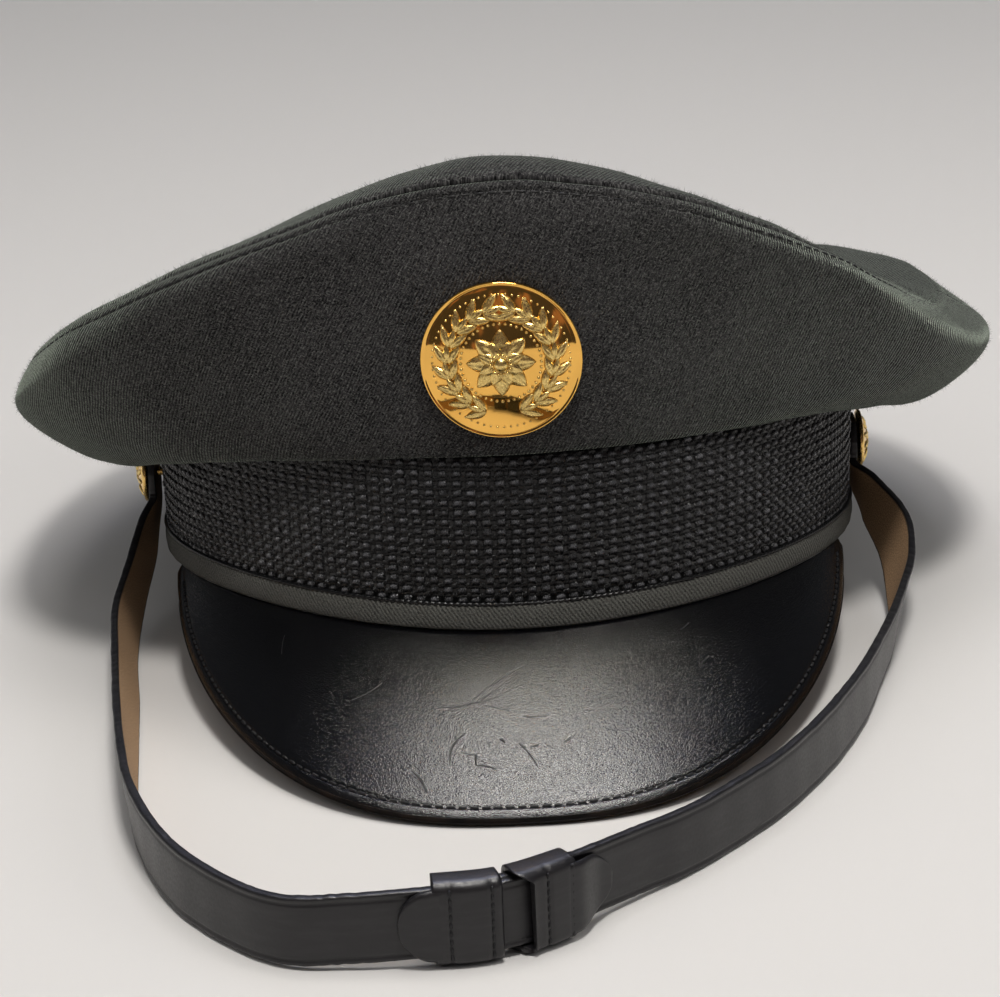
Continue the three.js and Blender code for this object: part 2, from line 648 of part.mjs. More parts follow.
function strap({ side, lap, face, direction }) {
  const { span } = KEEPERS[side < 0 ? 1 : 0];
  const inset = ((span[1] - span[0]) * STRAP_END) / KEEPER_LENGTH;
  const [button, end] = side < 0 ? [0, span[1] - inset] : [routeRows.length - 1, span[0] + inset];
  const loops = strapLoops(button, end, 44, lap);
  const hole = face(0).applyMatrix4(cap.matrix);
  const drill = direction.clone().transformDirection(cap.matrix);
  return withHole(sweep(loops, false), SHANK_RADIUS + GAP, hole, drill);
}

// A keeper: a sleeve with rounded corners round both straps, and a rounded tab on its outer face
const sleeveIn = [LAP / 2 + STRAP_WALL / 2 + GAP, STRAP_WIDTH / 2 + GAP];
const sleeveOut = sleeveIn.map((value) => value + KEEPER_WALL);

function sleeveRing([half, tall], corner) {
  const quarter = [[1, 1], [-1, 1], [-1, -1], [1, -1]];
  return quarter.flatMap(([sx, sy], i) =>
    [0, 0.5, 1].map((f) => {
      const angle = (i + f) * (Math.PI / 2);
      return [
        sx * (half - corner) + corner * Math.cos(angle),
        sy * (tall - corner) + corner * Math.sin(angle),
      ];
    }));
}

function keeper({ span, tabSide, tab }) {
  const outer = sleeveRing(sleeveOut, SLEEVE_CORNER);
  const inner = sleeveRing(sleeveIn, GAP);
  const stations = spread(span[0], span[1], 4).map(routeFrame);
  const ring = (frame, section) => section.map(([out, over]) => routeOffset(frame, out, over));
  const loops = [
    ...stations.map((frame) => ring(frame, outer)),
    ...stations.slice().reverse().map((frame) => ring(frame, inner)),
  ];
  const sleeve = solidOf(sweep(loops, true));
  const pace = (span[1] - span[0]) / KEEPER_LENGTH;
  const foot = tabSide < 0 ? span[0] : span[1];
  const tabWall = KEEPER_WALL - GAP;
  const tabFace = sleeveOut[0] - GAP / 2;
  const lying = (tabSide * -LAP) / 2 + STRAP_WALL / 2 + GAP + tabWall;
  const tabLoops = [-0.25, 0, 0.25, 0.5, 0.75, 0.92].map((share) => {
    const frame = routeFrame(foot + tabSide * share * tab * pace);
    const half = TAB_HALF_HEIGHT * Math.sqrt(1 - Math.max(0, share) ** 2);
    const face = THREE.MathUtils.lerp(tabFace, lying, THREE.MathUtils.smoothstep(share, 0, 0.8));
    return [[0, -1], [0, 1], [-1, 1], [-1, -1]].map(([deep, over]) =>
      routeOffset(frame, face + deep * tabWall, over * half));
  });
  return geometryFrom(sleeve.add(solidOf(sweep(tabLoops, false))));
}

// Assembly
const group = new THREE.Group();

function add(parent, name, geometry, material) {
  const mesh = new THREE.Mesh(geometry, material);
  mesh.name = name;
  parent.add(mesh);
  return mesh;
}

// The badge stands on the crown's front where the cloth is BADGE_HEIGHT up
function crownAtHeight(height) {
  return spread(0.3, RIM, 400).find((s) => crownPoint(0, s).z >= height);
}
const badgeStep = crownAtHeight(BADGE_HEIGHT);
const badgeDirection = crownNormal(0, badgeStep);
const badgeFoot = crownPoint(0, badgeStep);
const badgeSeat = seat(badgeFoot.clone().addScaledVector(badgeDirection, BADGE_STAND), badgeDirection);

const front = withHole(crownSide(FRONT_ANGLES), POST_RADIUS + GAP, badgeFoot, badgeDirection);
add(cap, 'crown_top', crownTop(), CROWN_CLOTH);
add(cap, 'crown_side_front', front, CROWN_CLOTH);
add(cap, 'crown_side_back', crownSide(BACK_ANGLES), CROWN_CLOTH);
add(cap, 'welt', welt(64), WELT_CLOTH);
add(cap, 'peak', peak(40), PEAK_LEATHER);
add(cap, 'badge', badge().applyMatrix4(badgeSeat), GILT);
add(cap, 'badge_nut', badgeNut().applyMatrix4(badgeSeat), PLAIN_BRASS);

let bandGeometry = band(64);
for (const { face, direction } of SIDES) {
  bandGeometry = withHole(bandGeometry, SHANK_RADIUS + GAP, face(0), direction);
}
add(cap, 'band', bandGeometry, BRAID);

for (const entry of SIDES) {
  const { name, slack, direction, face, backOut } = entry;
  add(cap, `button_${name}`, button(slack).applyMatrix4(seat(face(backOut), direction)), GILT);
  add(group, `strap_${name}`, strap(entry), STRAP_LEATHER);
}
for (const entry of KEEPERS) {
  add(group, entry.name, keeper(entry), STRAP_LEATHER);
}
group.add(cap);

// The origin is the middle of the whole thing's footprint, on the table
const whole = new THREE.Group();
whole.add(group);
const box = new THREE.Box3().setFromObject(whole, true);
group.position.set(-(box.min.x + box.max.x) / 2, -(box.min.y + box.max.y) / 2, -box.min.z);

export default whole;
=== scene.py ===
"""A peaked service cap of dark wool, resting on a table with its chin strap laid round its front.

Lengths are in millimetres up to the moment a mesh is made. The cap is worked out upright, with the
foot of its band at zero and its front along -Y, and is then leaned back as it rests. The strap is
worked out where it lies."""

import math

import bpy
import numpy as np
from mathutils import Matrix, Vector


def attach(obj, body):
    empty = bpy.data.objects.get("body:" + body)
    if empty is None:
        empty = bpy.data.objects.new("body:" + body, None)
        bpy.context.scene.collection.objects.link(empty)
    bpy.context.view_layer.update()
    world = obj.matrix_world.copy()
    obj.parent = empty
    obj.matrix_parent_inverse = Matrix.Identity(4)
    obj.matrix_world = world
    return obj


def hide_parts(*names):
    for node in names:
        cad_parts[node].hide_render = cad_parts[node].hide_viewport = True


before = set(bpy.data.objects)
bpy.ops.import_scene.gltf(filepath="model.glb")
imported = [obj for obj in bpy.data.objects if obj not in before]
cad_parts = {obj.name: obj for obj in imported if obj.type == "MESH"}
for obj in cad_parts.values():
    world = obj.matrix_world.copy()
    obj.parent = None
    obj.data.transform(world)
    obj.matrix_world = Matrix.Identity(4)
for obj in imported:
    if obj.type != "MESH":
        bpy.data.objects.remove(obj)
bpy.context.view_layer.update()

MM = 0.001
GAP = 0.3
SEED = 11

# Cap: band, welt, crown and peak
BAND_HALF_WIDTH = 91.5
BAND_HALF_LENGTH = 107.5
BAND_FLARE = 1.2
BAND_WALL = 2.4
SEAM_HEIGHT = 38.0
WELT_HEIGHT = 6.0
WELT_OUT = 0.9
FRONT_DIP = 4.5
CROWN_OVERHANG = 38.5
CROWN_RISE = 67.0
CREST_ROLL = 6.0
CREST_IN = 8.5
CREST_BACK = 17.0
CLOTH = 1.8
SEWN_CLOTH = 0.8
RIM = 2.9
TOPSTITCH_DROP = 3.0
SIDE_SEAM = math.radians(92)
PEAK_HALF_WIDTH = 86.4
PEAK_FORWARD = 46.3
PEAK_DROP = 37.0
PEAK_CORNER_BACK = 40.0
PEAK_CORNER_DROP = 3.0
PEAK_CORNER = math.radians(68)
PEAK_BULGE = 2.2
PEAK_WALL = 2.4
PEAK_SEAM_IN = 3.4
BRAID_PITCH = 3.35
BRAID_ROW = 1.18
BRAID_ROWS = 30
KNOB_GRID = (7, 6)
CAP_LEAN = math.radians(8.468)
CAP_PLACE = np.array([-1.133, 42.176, 15.937])

# Badge, buttons, strap and keepers
BADGE_RADIUS = 18.7
BADGE_WALL = 1.3
BADGE_DOME = 2.6
BADGE_HEIGHT = 61.5
BADGE_STAND = 0.8
BUTTON_RADIUS = 8.0
BUTTON_HEIGHT = 18.0
BUTTON_STAND = 0.4
STRAP_WIDTH = 15.5
STRAP_WALL = 2.0
LAP = STRAP_WALL + GAP
STRAP_REACH = 216.0
KEEPER_WALL = 1.4
KEEPER_LENGTH = 13.6

# Side buttons: name, side, play between strap and band, and how far they stand before the middle
BUTTONS = (("left", -1, 1.8, 5.0), ("right", 1, 0.4, -1.0))

# Crown sections every 30 degrees round from the front towards +X: out from the band as a share of
# CROWN_OVERHANG and up from the seam as a share of CROWN_RISE, for the hanging roll, the belly and
# the rim, and the share of CREST_ROLL by which the top rises over the rim.
CROWN_COLUMNS = ("under_out", "under_up", "belly_out", "belly_up", "rim_out", "rim_up", "roll")
CROWN_SECTIONS = {
    -150: (0.23, -0.13, 0.75, 0.07, 0.68, 0.27, 1.0),
    -120: (0.25, -0.22, 0.93, 0.04, 0.90, 0.18, 1.0),
    -90: (0.24, -0.27, 1.00, -0.03, 0.90, 0.12, 1.0),
    -60: (0.19, -0.24, 0.93, 0.19, 0.91, 0.375, 0.6),
    -30: (0.12, -0.13, 0.41, 0.58, 0.48, 0.745, 0.78),
    0: (0.08, -0.05, 0.24, 0.58, 0.335, 0.93, 0.89),
    30: (0.10, -0.03, 0.38, 0.62, 0.45, 0.765, 0.78),
    60: (0.23, -0.10, 0.70, 0.33, 0.56, 0.435, 0.6),
    90: (0.33, -0.22, 1.16, 0.09, 0.75, 0.25, 0.6),
    120: (0.28, -0.20, 1.03, 0.19, 0.85, 0.28, 0.8),
    150: (0.23, -0.10, 0.73, 0.13, 0.65, 0.24, 1.0),
    180: (0.23, -0.10, 0.68, 0.13, 0.60, 0.33, 1.0),
}

# Soft hollows and swellings of the crown: angle, step up the section, and the reach in degrees and
# in steps, and the depth in millimetres.
CROWN_DENTS = (
    (-55, 1.6, 16, 0.5, 0.8),
    (-28, 1.4, 12, 0.6, -0.7),
    (-9, 2.3, 4.5, 0.45, 1.0),
    (4, 2.2, 2.6, 0.6, -0.7),
    (10, 2.35, 3.0, 0.4, 0.5),
    (24, 1.5, 10, 0.7, 0.6),
    (58, 1.5, 14, 0.5, 0.8),
    (84, 1.9, 9, 0.4, -0.7),
    (112, 3.5, 16, 0.7, -0.8),
    (104, 4.4, 20, 0.5, 1.0),
)

# Chin strap route from the left button round the front to the right one: across as a share of the
# button's distance from the middle, along as a share of STRAP_REACH, up as a share of the button's
# height over where the strap stands, lean of the upper edge towards +X and turn of that edge from
# the front (0) to the top (90), in degrees.
STRAP_ROUTE = (
    (-1.00, 0.000, 1.24, 0, 0),
    (-1.00, 0.000, 1.00, 0, 4),
    (-1.00, 0.008, 0.68, 0, 14),
    (-1.02, 0.045, 0.42, -8, 44),
    (-1.04, 0.106, 0.19, -7, 70),
    (-1.05, 0.220, 0.02, -14, 84),
    (-1.015, 0.366, 0.00, -16, 89),
    (-0.98, 0.506, 0.01, -13, 90),
    (-0.945, 0.629, 0.01, -8, 90),
    (-0.90, 0.735, 0.01, -4, 90),
    (-0.765, 0.883, 0.01, 0, 90),
    (-0.54, 0.991, 0.02, 0, 90),
    (-0.38, 1.004, 0.05, 0, 90),
    (-0.22, 1.003, 0.075, 0, 90),
    (-0.06, 0.993, 0.075, 0, 90),
    (0.085, 0.985, 0.075, 0, 90),
    (0.25, 0.923, 0.04, 0, 90),
    (0.395, 0.866, 0.01, 0, 90),
    (0.64, 0.736, 0.00, 0, 90),
    (0.84, 0.573, 0.00, 0, 90),
    (0.965, 0.421, 0.01, 6, 87),
    (1.045, 0.300, 0.05, 10, 84),
    (1.08, 0.209, 0.13, 21, 77),
    (1.085, 0.134, 0.30, 23, 66),
    (1.04, 0.058, 0.50, 13, 46),
    (1.00, 0.012, 0.70, 1, 18),
    (1.00, 0.000, 1.00, 0, 4),
    (1.00, 0.000, 1.24, 0, 0),
)


# ---- Meshes ----

def span(low, high, count):
    return np.linspace(low, high, count)


def unit(vectors):
    return vectors / np.linalg.norm(vectors, axis=-1, keepdims=True)


def square_to(ways, along):
    """Turns each way square to its along."""
    return unit(ways - along * np.sum(ways * along, -1, keepdims=True))


def vec(x, y, z):
    """Points of three coordinates, each a number or an array."""
    return np.stack(np.broadcast_arrays(x, y, z), -1)


def full_turn(count):
    """Angles of count even steps round a circle, from zero."""
    return np.arange(count) * 2 * math.pi / count


def bump_at(distance, width):
    """A smooth hill of height one: the bell curve of distance over width."""
    return np.exp(-((distance / width) ** 2))


def rest(points):
    """Leans the upright cap back about X by CAP_LEAN and moves it to its place on the table."""
    x, y, z = np.moveaxis(points, -1, 0)
    c, s = math.cos(CAP_LEAN), math.sin(CAP_LEAN)
    return vec(x, y * c + z * s, z * c - y * s) + CAP_PLACE


def lean(vectors):
    """Turns directions of the upright cap as rest() turns its points."""
    return rest(vectors) - CAP_PLACE


def grid_faces(rows, columns, close_rows=False, close_columns=False):
    """Quads between neighbouring rows and columns, and each corner's place in the unrolled grid."""
    i, j = np.meshgrid(
        np.arange(rows if close_rows else rows - 1),
        np.arange(columns if close_columns else columns - 1), indexing="ij")
    i = np.stack([i, i + 1, i + 1, i], -1).reshape(-1, 4)
    j = np.stack([j, j, j + 1, j + 1], -1).reshape(-1, 4)
    return (i % rows) * columns + j % columns, i, j


def copied(faces, count, size):
    """Faces of count copies of a shape that has size points."""
    return (faces + (np.arange(count) * size)[:, None, None]).reshape(-1, faces.shape[1])


def capped(rings, first, last):
    """Points and triangles of a skin of rings that runs to a point at both ends. The triangles are
    turned to look out of the volume that they hold."""
    rows, sides = rings.shape[:2]
    quads = grid_faces(rows, sides, False, True)[0]
    k, top = np.arange(sides), (rows - 1) * sides
    ahead, pole = (k + 1) % sides, np.full(sides, rows * sides)
    faces = np.concatenate([
        quads[:, [0, 1, 2]], quads[:, [0, 2, 3]],
        np.stack([pole, k, ahead], -1), np.stack([pole + 1, top + ahead, top + k], -1)])
    points = np.concatenate([rings.reshape(-1, 3), [first, last]])
    a, b, c = (points[faces[:, n]] for n in range(3))
    return points, faces if np.sum(a * np.cross(b, c)) > 0 else faces[:, ::-1]


def linked(name, data):
    """A new object of the data, in the scene."""
    obj = bpy.data.objects.new(name, data)
    bpy.context.scene.collection.objects.link(obj)
    return obj


class Piece:
    """Collects points, faces and their marks, and turns them into one object."""

    def __init__(self):
        self.points, self.faces, self.cloth, self.marks, self.total = [], [], [], [], 0

    def add(self, points, faces, cloth=None, mark=0.0):
        """points is n by 3. faces is m by 3 or 4. cloth is the pattern place of each face corner.
        mark is one number a point or one for all."""
        points = points.reshape(-1, 3)
        self.points.append(points)
        self.faces.append(faces + self.total)
        self.cloth.append(np.zeros(faces.shape + (2,)) if cloth is None else cloth)
        self.marks.append(np.broadcast_to(np.asarray(mark, float).reshape(-1), (len(points),)))
        self.total += len(points)
        return self

    def shell(self, points, cloth=None, mark=0.0, close_rows=False):
        """A closed skin: points is rows by columns by 3, where each row is a closed loop. Open rows
        are closed at both ends by strips between the halves of the end loop. The faces are turned
        to look out of the volume that they hold."""
        rows, columns = points.shape[:2]
        faces, i, j = grid_faces(rows, columns, close_rows, True)
        place = np.zeros(faces.shape + (2,)) if cloth is None else cloth[i, j]
        if not close_rows:
            half = np.arange(columns // 2 - 1)
            strip = np.stack([half, half + 1, columns - 2 - half, columns - 1 - half], -1)
            faces = np.concatenate([faces, strip, strip[:, ::-1] + (rows - 1) * columns])
            place = np.concatenate([place, np.zeros((2 * len(strip), 4, 2))])
        a, b, c, d = (points.reshape(-1, 3)[faces[:, k]] for k in range(4))
        if np.sum(a * np.cross(b, c)) + np.sum(a * np.cross(c, d)) < 0:
            faces, place = faces[:, ::-1], place[:, ::-1]
        return self.add(points, faces, place, mark)

    def repeat(self, shape, faces, centres, frames, mark=0.0):
        """Copies of one small shape: each point is centre + x, y and z along the copy's axes."""
        points = centres[:, None] + np.einsum("pk,nkc->npc", shape, frames)
        return self.add(points, copied(faces, len(centres), len(shape)), None, mark)

    def build(self, name, finish, slot, nodes=(), smooth=True, edge=None, crisp=None):
        """One object of all that was added. Faces marked over one half take the edge finish, and
        edges sharper than crisp, in degrees, are not smoothed over."""
        mesh = bpy.data.meshes.new(name)
        faces = [row for block in self.faces for row in block.tolist()]
        mesh.from_pydata((np.concatenate(self.points) * MM).tolist(), [], faces)
        cloth = np.concatenate([block.reshape(-1, 2) for block in self.cloth])
        marks = np.concatenate(self.marks)
        mesh.uv_layers.new(name="cloth").data.foreach_set("uv", cloth.ravel())
        mesh.attributes.new("mark", "FLOAT", "POINT").data.foreach_set("value", marks)
        mesh.polygons.foreach_set("use_smooth", np.full(len(faces), smooth))
        mesh.update()
        if crisp:
            mesh.set_sharp_from_angle(angle=math.radians(crisp))
        mesh.materials.append(finish)
        if edge:
            mesh.materials.append(edge)
            marked = [marks[block].mean(1) > 0.5 for block in self.faces]
            mesh.polygons.foreach_set("material_index", np.concatenate(marked).astype(np.int32))
        obj = linked(name, mesh)
        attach(obj, "root")
        if nodes:
            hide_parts(*nodes)


def ball(rings, sides, squareness=1.0):
    """A closed unit ball: latitude rings of points between two poles. squareness below one fills
    its corners out, by raising each sine and cosine to that power."""
    bulge = lambda v: np.sign(v) * np.abs(v) ** squareness
    lat = span(-math.pi / 2, math.pi / 2, rings + 2)[1:-1, None]
    lon = full_turn(sides)[None]
    around = bulge(np.cos(lat))
    ring = vec(bulge(np.sin(lat)), around * bulge(np.cos(lon)), around * bulge(np.sin(lon)))
    return capped(ring, [-1, 0, 0], [1, 0, 0])


# ---- Finishes ----

def operator(operation, swapped=False):
    """A method of Value that adds the Math node of this operation."""
    def method(self, *others):
        values = (*others, self) if swapped else (self, *others)
        return self.paint.node("ShaderNodeMath", {"operation": operation}, *values)
    return method


class Value:
    """A shader socket with arithmetic: each operator adds the Math node that works it out."""

    def __init__(self, paint, socket):
        self.paint, self.socket = paint, socket

    __add__ = __radd__ = operator("ADD")
    __sub__, __rsub__ = operator("SUBTRACT"), operator("SUBTRACT", True)
    __mul__ = __rmul__ = operator("MULTIPLY")
    __pow__ = operator("POWER")
    sine, least, most = operator("SINE"), operator("MINIMUM"), operator("MAXIMUM")

    def step(self, low, high, to_low=0.0, to_high=1.0):
        """A smooth step of the value from low to high, clamped."""
        return self.paint.node("ShaderNodeMapRange", {"interpolation_type": "SMOOTHSTEP"},
                               self, low, high, to_low, to_high)


class Paint:
    """One finish: its principled shader, and methods that add any other node to it."""

    def __init__(self, name, roughness=0.5, metallic=0.0, **constants):
        self.finish = bpy.data.materials.new(name)
        self.finish.use_nodes = True
        self.tree = self.finish.node_tree
        self.shader = self.tree.nodes["Principled BSDF"]
        for socket, value in {"Roughness": roughness, "Metallic": metallic, **constants}.items():
            self.set(socket.replace("_", " "), value)

    def set(self, socket, value):
        self._feed(self.shader.inputs[socket], value)
        return self

    def _feed(self, socket, value):
        if isinstance(value, Value):
            self.tree.links.new(value.socket, socket)
        elif hasattr(socket.default_value, "__len__") and len(socket.default_value) == 4:
            socket.default_value = (*value, 1.0)
        else:
            socket.default_value = value

    def node(self, kind, settings, *values, out=0, **named):
        made = self.tree.nodes.new(kind)
        for name, value in settings.items():
            setattr(made, name, value)
        for socket, value in zip(made.inputs, values):
            self._feed(socket, value)
        for name, value in named.items():
            self._feed(made.inputs[name.replace("_", " ")], value)
        return Value(self, made.outputs[out])

    def place(self):
        """The point's own place on the object, in metres."""
        return self.node("ShaderNodeTexCoord", {}, out="Object")

    def cloth(self):
        """The pattern's place, in millimetres, as two numbers and as a vector."""
        vector = self.node("ShaderNodeUVMap", {"uv_map": "cloth"})
        parts = [self.node("ShaderNodeSeparateXYZ", {}, vector, out=k) for k in range(2)]
        return (*parts, vector)

    def mark(self):
        return self.node("ShaderNodeAttribute", {"attribute_name": "mark"}, out="Fac")

    def stretch(self, vector, x, y, z=1.0, turn=0.0):
        """Turns the pattern's place, then makes the pattern x, y and z times as fine."""
        return self.node("ShaderNodeMapping", {"vector_type": "TEXTURE"}, vector,
                         Rotation=(0, 0, turn), Scale=(1 / x, 1 / y, 1 / z))

    def noise(self, vector, scale, detail=2.0, roughness=0.5):
        return self.node("ShaderNodeTexNoise", {}, Vector=vector, Scale=scale,
                         Detail=detail, Roughness=roughness)

    def blend(self, factor, low, high):
        """A colour between two colours. Sockets 0, 6 and 7 are a colour mix's factor, A and B."""
        made = self.tree.nodes.new("ShaderNodeMix")
        made.data_type = "RGBA"
        for socket, value in ((0, factor), (6, low), (7, high)):
            self._feed(made.inputs[socket], value)
        return Value(self, made.outputs[2])

    def colour(self, factor, low, high):
        """Blends the base colour between two colours."""
        return self.set("Base Color", self.blend(factor, low, high))

    def relief(self, height, depth):
        """Bumps the surface by height, a value near 0 to 1, over depth in millimetres."""
        bump = self.node("ShaderNodeBump", {}, Strength=1.0, Distance=depth * MM, Height=height)
        return self.set("Normal", bump)


def crown_wool():
    """Fuzzy wool twill: ribs are a sine across the cloth, broken by yarns along them, with the
    mottling of the nap and a few light specks of lint."""
    paint = Paint("crown wool twill", roughness=0.95, Sheen_Weight=0.9, Sheen_Roughness=0.32,
                  Sheen_Tint=(0.52, 0.60, 0.49), Specular_IOR_Level=0.08)
    across, up, cloth = paint.cloth()
    wander = (paint.noise(cloth, 0.16, 2.0) - 0.5) * 1.2
    turn = math.radians(152)
    ribs = ((across * math.cos(turn) + up * math.sin(turn) + wander) * (2 * math.pi / 0.82)).sine()
    nap = paint.noise(cloth, 1.7, 1.5, 0.7)
    fibres = paint.noise(paint.stretch(cloth, 1.0, 2.8, turn=1.0), 1.0, 2.0, 0.7)
    crossing = paint.noise(paint.stretch(cloth, 1.0, 2.8, turn=-0.35), 1.0, 2.0, 0.7)
    tufts = paint.noise(cloth, 0.5, 2.0)
    patches = paint.noise(cloth, 0.055, 2.0)
    shade = ribs * 0.12 + nap * 2.3 + tufts * 0.9 + patches * 0.5 - 1.35
    colour = paint.blend(shade.step(-0.05, 1.15), (0.0030, 0.0027, 0.0036), (0.060, 0.057, 0.058))
    hairs = fibres.step(0.54, 0.68).most(crossing.step(0.54, 0.68))
    paint.colour(hairs * 0.9, colour, (0.150, 0.148, 0.142))
    paint.relief(ribs * 0.32 + nap * 0.8 + fibres * 0.6 + tufts * 0.4, 0.30)
    return paint.finish


def fibre_wool():
    paint = Paint("crown wool fibres", roughness=0.9, Sheen_Weight=0.3, Specular_IOR_Level=0.1)
    tone = paint.noise(paint.place(), 900.0, 1.0)
    paint.colour(tone.step(0.35, 0.7), (0.018, 0.019, 0.018), (0.085, 0.09, 0.08))
    return paint.finish


def band_braid():
    """Black mohair braid: its knobs are real, so the finish adds the strands that cross each knob
    and the fluff on them, and paints light from the mark: a painted highlight on each knob's top,
    and painted shade towards its edges and on the sunk rows. With no mark, on the wall under the
    knobs and on the selvedge cord, the colour is near black."""
    paint = Paint("black mohair braid", roughness=0.45, Sheen_Weight=0.04, Specular_IOR_Level=0.5)
    across, up, cloth = paint.cloth()
    wander = (paint.noise(cloth, 0.9, 2.0) - 0.5) * 0.6
    strands = ((across + up * 0.35 + wander) * (2 * math.pi / 0.42)).sine()
    fluff = paint.noise(cloth, 2.6, 3.0, 0.6)
    # The mark paints light: a painted highlight on the knob tops, painted shade in the gaps and on
    # the sunk rows.
    shade = paint.mark() * 0.95 + fluff * 0.9 + strands * 0.14 - 0.80
    paint.colour(shade.step(0.0, 0.95), (0.0009, 0.0009, 0.0013), (0.120, 0.120, 0.130))
    paint.set("Roughness", fluff.step(0.3, 0.7, 0.22, 0.36))
    paint.relief(strands * -0.5 - fluff * 0.7, 0.14)
    return paint.finish


def welt_twill():
    """Olive-grey piping twill, with ribs at a slant of about 55 degrees."""
    paint = Paint("welt twill", roughness=0.88, Sheen_Weight=0.05, Sheen_Roughness=0.45,
                  Sheen_Tint=(0.8, 0.8, 0.7), Specular_IOR_Level=0.15)
    across, up, cloth = paint.cloth()
    ribs = ((across * 0.82 + up * 0.57 + (paint.noise(cloth, 0.3, 2.0) - 0.5) * 0.7)
            * (2 * math.pi / 0.9)).sine()
    nap = paint.noise(cloth, 2.2, 3.0, 0.65)
    shade = ribs * 0.10 + nap * 1.5 - 0.12
    paint.colour(shade.step(0.10, 0.95), (0.004, 0.004, 0.005), (0.140, 0.138, 0.124))
    paint.relief(ribs * 0.2 + nap * 1.4, 0.32)
    return paint.finish


# Scratches of the peak: start and end in its own pattern (across the cap, forward from the welt),
# how far the line bows sideways, and its width.
SCRATCHES = (
    (-15.4, 43.0, -11.8, 34.3, -1.3, 0.24),
    (-12.9, 39.5, -9.4, 40.1, 0.1, 0.2),
    (-9.4, 40.1, -9.3, 43.0, 0.2, 0.22),
    (-9.3, 43.0, -4.9, 44.0, -0.3, 0.22),
    (0.5, 37.2, 4.4, 43.4, -0.3, 0.2),
    (-24.4, 44.5, -21.0, 50.0, -0.5, 0.34),
    (-3.6, 36.0, -2.8, 36.6, 0.0, 0.3),
    (3.1, 38.2, 4.9, 37.9, 0.1, 0.24),
    (10.8, 37.6, 12.4, 36.6, 0.1, 0.24),
    (1.6, 29.7, 8.1, 29.7, 0.2, 0.14),
    (16.1, 29.3, 22.6, 27.6, 0.3, 0.12),
    (-18.0, 26.8, -0.6, 21.4, 1.2, 0.11),
    (-16.0, 29.0, -3.0, 20.0, 0.6, 0.09),
    (-10.0, 24.7, 1.6, 13.6, -0.5, 0.10),
    (-7.0, 25.8, -1.4, 27.6, 0.2, 0.12),
    (-55.0, 9.0, -55.5, 15.0, 0.2, 0.12),
    (-38.0, 26.0, -31.0, 20.0, 0.5, 0.10),
    (40.0, 8.0, 42.0, 6.5, 0.1, 0.3),
    (44.0, 20.0, 46.0, 18.5, 0.1, 0.25),
)


def peak_leather():
    """Polished black leather: a soft, finely scuffed gloss, hairline scratches, and a brown edge
    where the mark says so."""
    paint = Paint("polished peak leather", roughness=0.3, Specular_IOR_Level=0.72)
    across, forward, cloth = paint.cloth()
    scuffs = paint.noise(paint.stretch(cloth, 2.4, 0.8, turn=0.7), 1.0, 3.0, 0.6)
    hatch = paint.noise(paint.stretch(cloth, 0.8, 2.6, turn=0.5), 1.0, 3.0, 0.6)
    grain = paint.noise(cloth, 2.5, 2.0, 0.6)
    line = None
    for x1, y1, x2, y2, bow, width in SCRATCHES:
        length = math.hypot(x2 - x1, y2 - y1)
        ux, uy = (x2 - x1) / length, (y2 - y1) / length
        run = (across - x1) * ux + (forward - y1) * uy
        held = run.most(0.0).least(length)
        bowed = held * (length - held) * (4 * bow / length**2)
        side = (across - x1) * uy - (forward - y1) * ux + bowed
        over = run - held
        reach = (side * side + over * over) ** 0.5
        mark = reach.step(width, width * 0.3)
        line = mark if line is None else line.most(mark)
    edge = paint.mark()
    paint.colour(edge, (0.0018, 0.0018, 0.0025), (0.008, 0.0052, 0.0040))
    paint.set("Roughness", edge * 0.25 + scuffs.step(0.3, 0.75, 0.09, 0.15) + line * 0.4)
    paint.relief(scuffs * 0.5 + hatch * 0.5 + grain * 0.5 - line * 0.6, 0.22)
    return paint.finish


def peak_edge():
    """The dyed and burnished rim of the peak, nearly black with brown showing through."""
    paint = Paint("dyed peak edge", roughness=0.6, Specular_IOR_Level=0.15)
    stain = paint.noise(paint.place(), 260.0, 3.0, 0.6)
    paint.colour(stain.step(0.35, 0.7), (0.0022, 0.0018, 0.0018), (0.012, 0.0075, 0.0055))
    paint.set("Roughness", stain.step(0.3, 0.7, 0.42, 0.7))
    paint.relief(stain, 0.08)
    return paint.finish


def strap_leather():
    """Smooth black leather outside and on the dyed edges, brown suede where the mark is one."""
    paint = Paint("strap leather", roughness=0.36, Specular_IOR_Level=0.5)
    cloth = paint.cloth()[2]
    flesh = paint.mark()
    grain = paint.noise(cloth, 1.3, 3.0, 0.6)
    nap = paint.noise(cloth, 2.4, 3.0, 0.7)
    wear = paint.noise(paint.stretch(cloth, 0.12, 0.5), 1.0, 2.0)
    suede = paint.blend(nap.step(0.3, 0.72), (0.25, 0.145, 0.068), (0.62, 0.39, 0.215))
    black = paint.blend(wear.step(0.4, 0.8), (0.008, 0.0075, 0.009), (0.015, 0.014, 0.016))
    paint.colour(flesh, black, suede)
    paint.set("Roughness", flesh * 0.5 + grain.step(0.3, 0.7, 0.36, 0.46))
    paint.relief(grain * (1 - flesh) * 0.35 + nap * flesh * 2.2, 0.09)
    return paint.finish


def gilt(name, roughness, colour, pits=0.0):
    """Gilt or plain brass, a little darker in patches. pits is the depth of its satin grain."""
    paint = Paint(name, roughness=roughness, metallic=1.0)
    haze = paint.noise(paint.place(), 120.0, 2.0)
    paint.colour(haze.step(0.3, 0.8), colour, [0.9 * c for c in colour])
    if pits:
        fine = paint.noise(paint.place(), 2600.0, 2.0)
        paint.set("Roughness", fine.step(0.3, 0.75, roughness, roughness + 0.14))
        paint.relief(fine, pits)
    return paint.finish


def thread(name, colour):
    paint = Paint(name, roughness=0.55, Specular_IOR_Level=0.4)
    twist = paint.noise(paint.place(), 3000.0, 1.0)
    paint.colour(twist.step(0.3, 0.7), colour, [1.8 * c for c in colour])
    paint.relief(twist, 0.05)
    return paint.finish


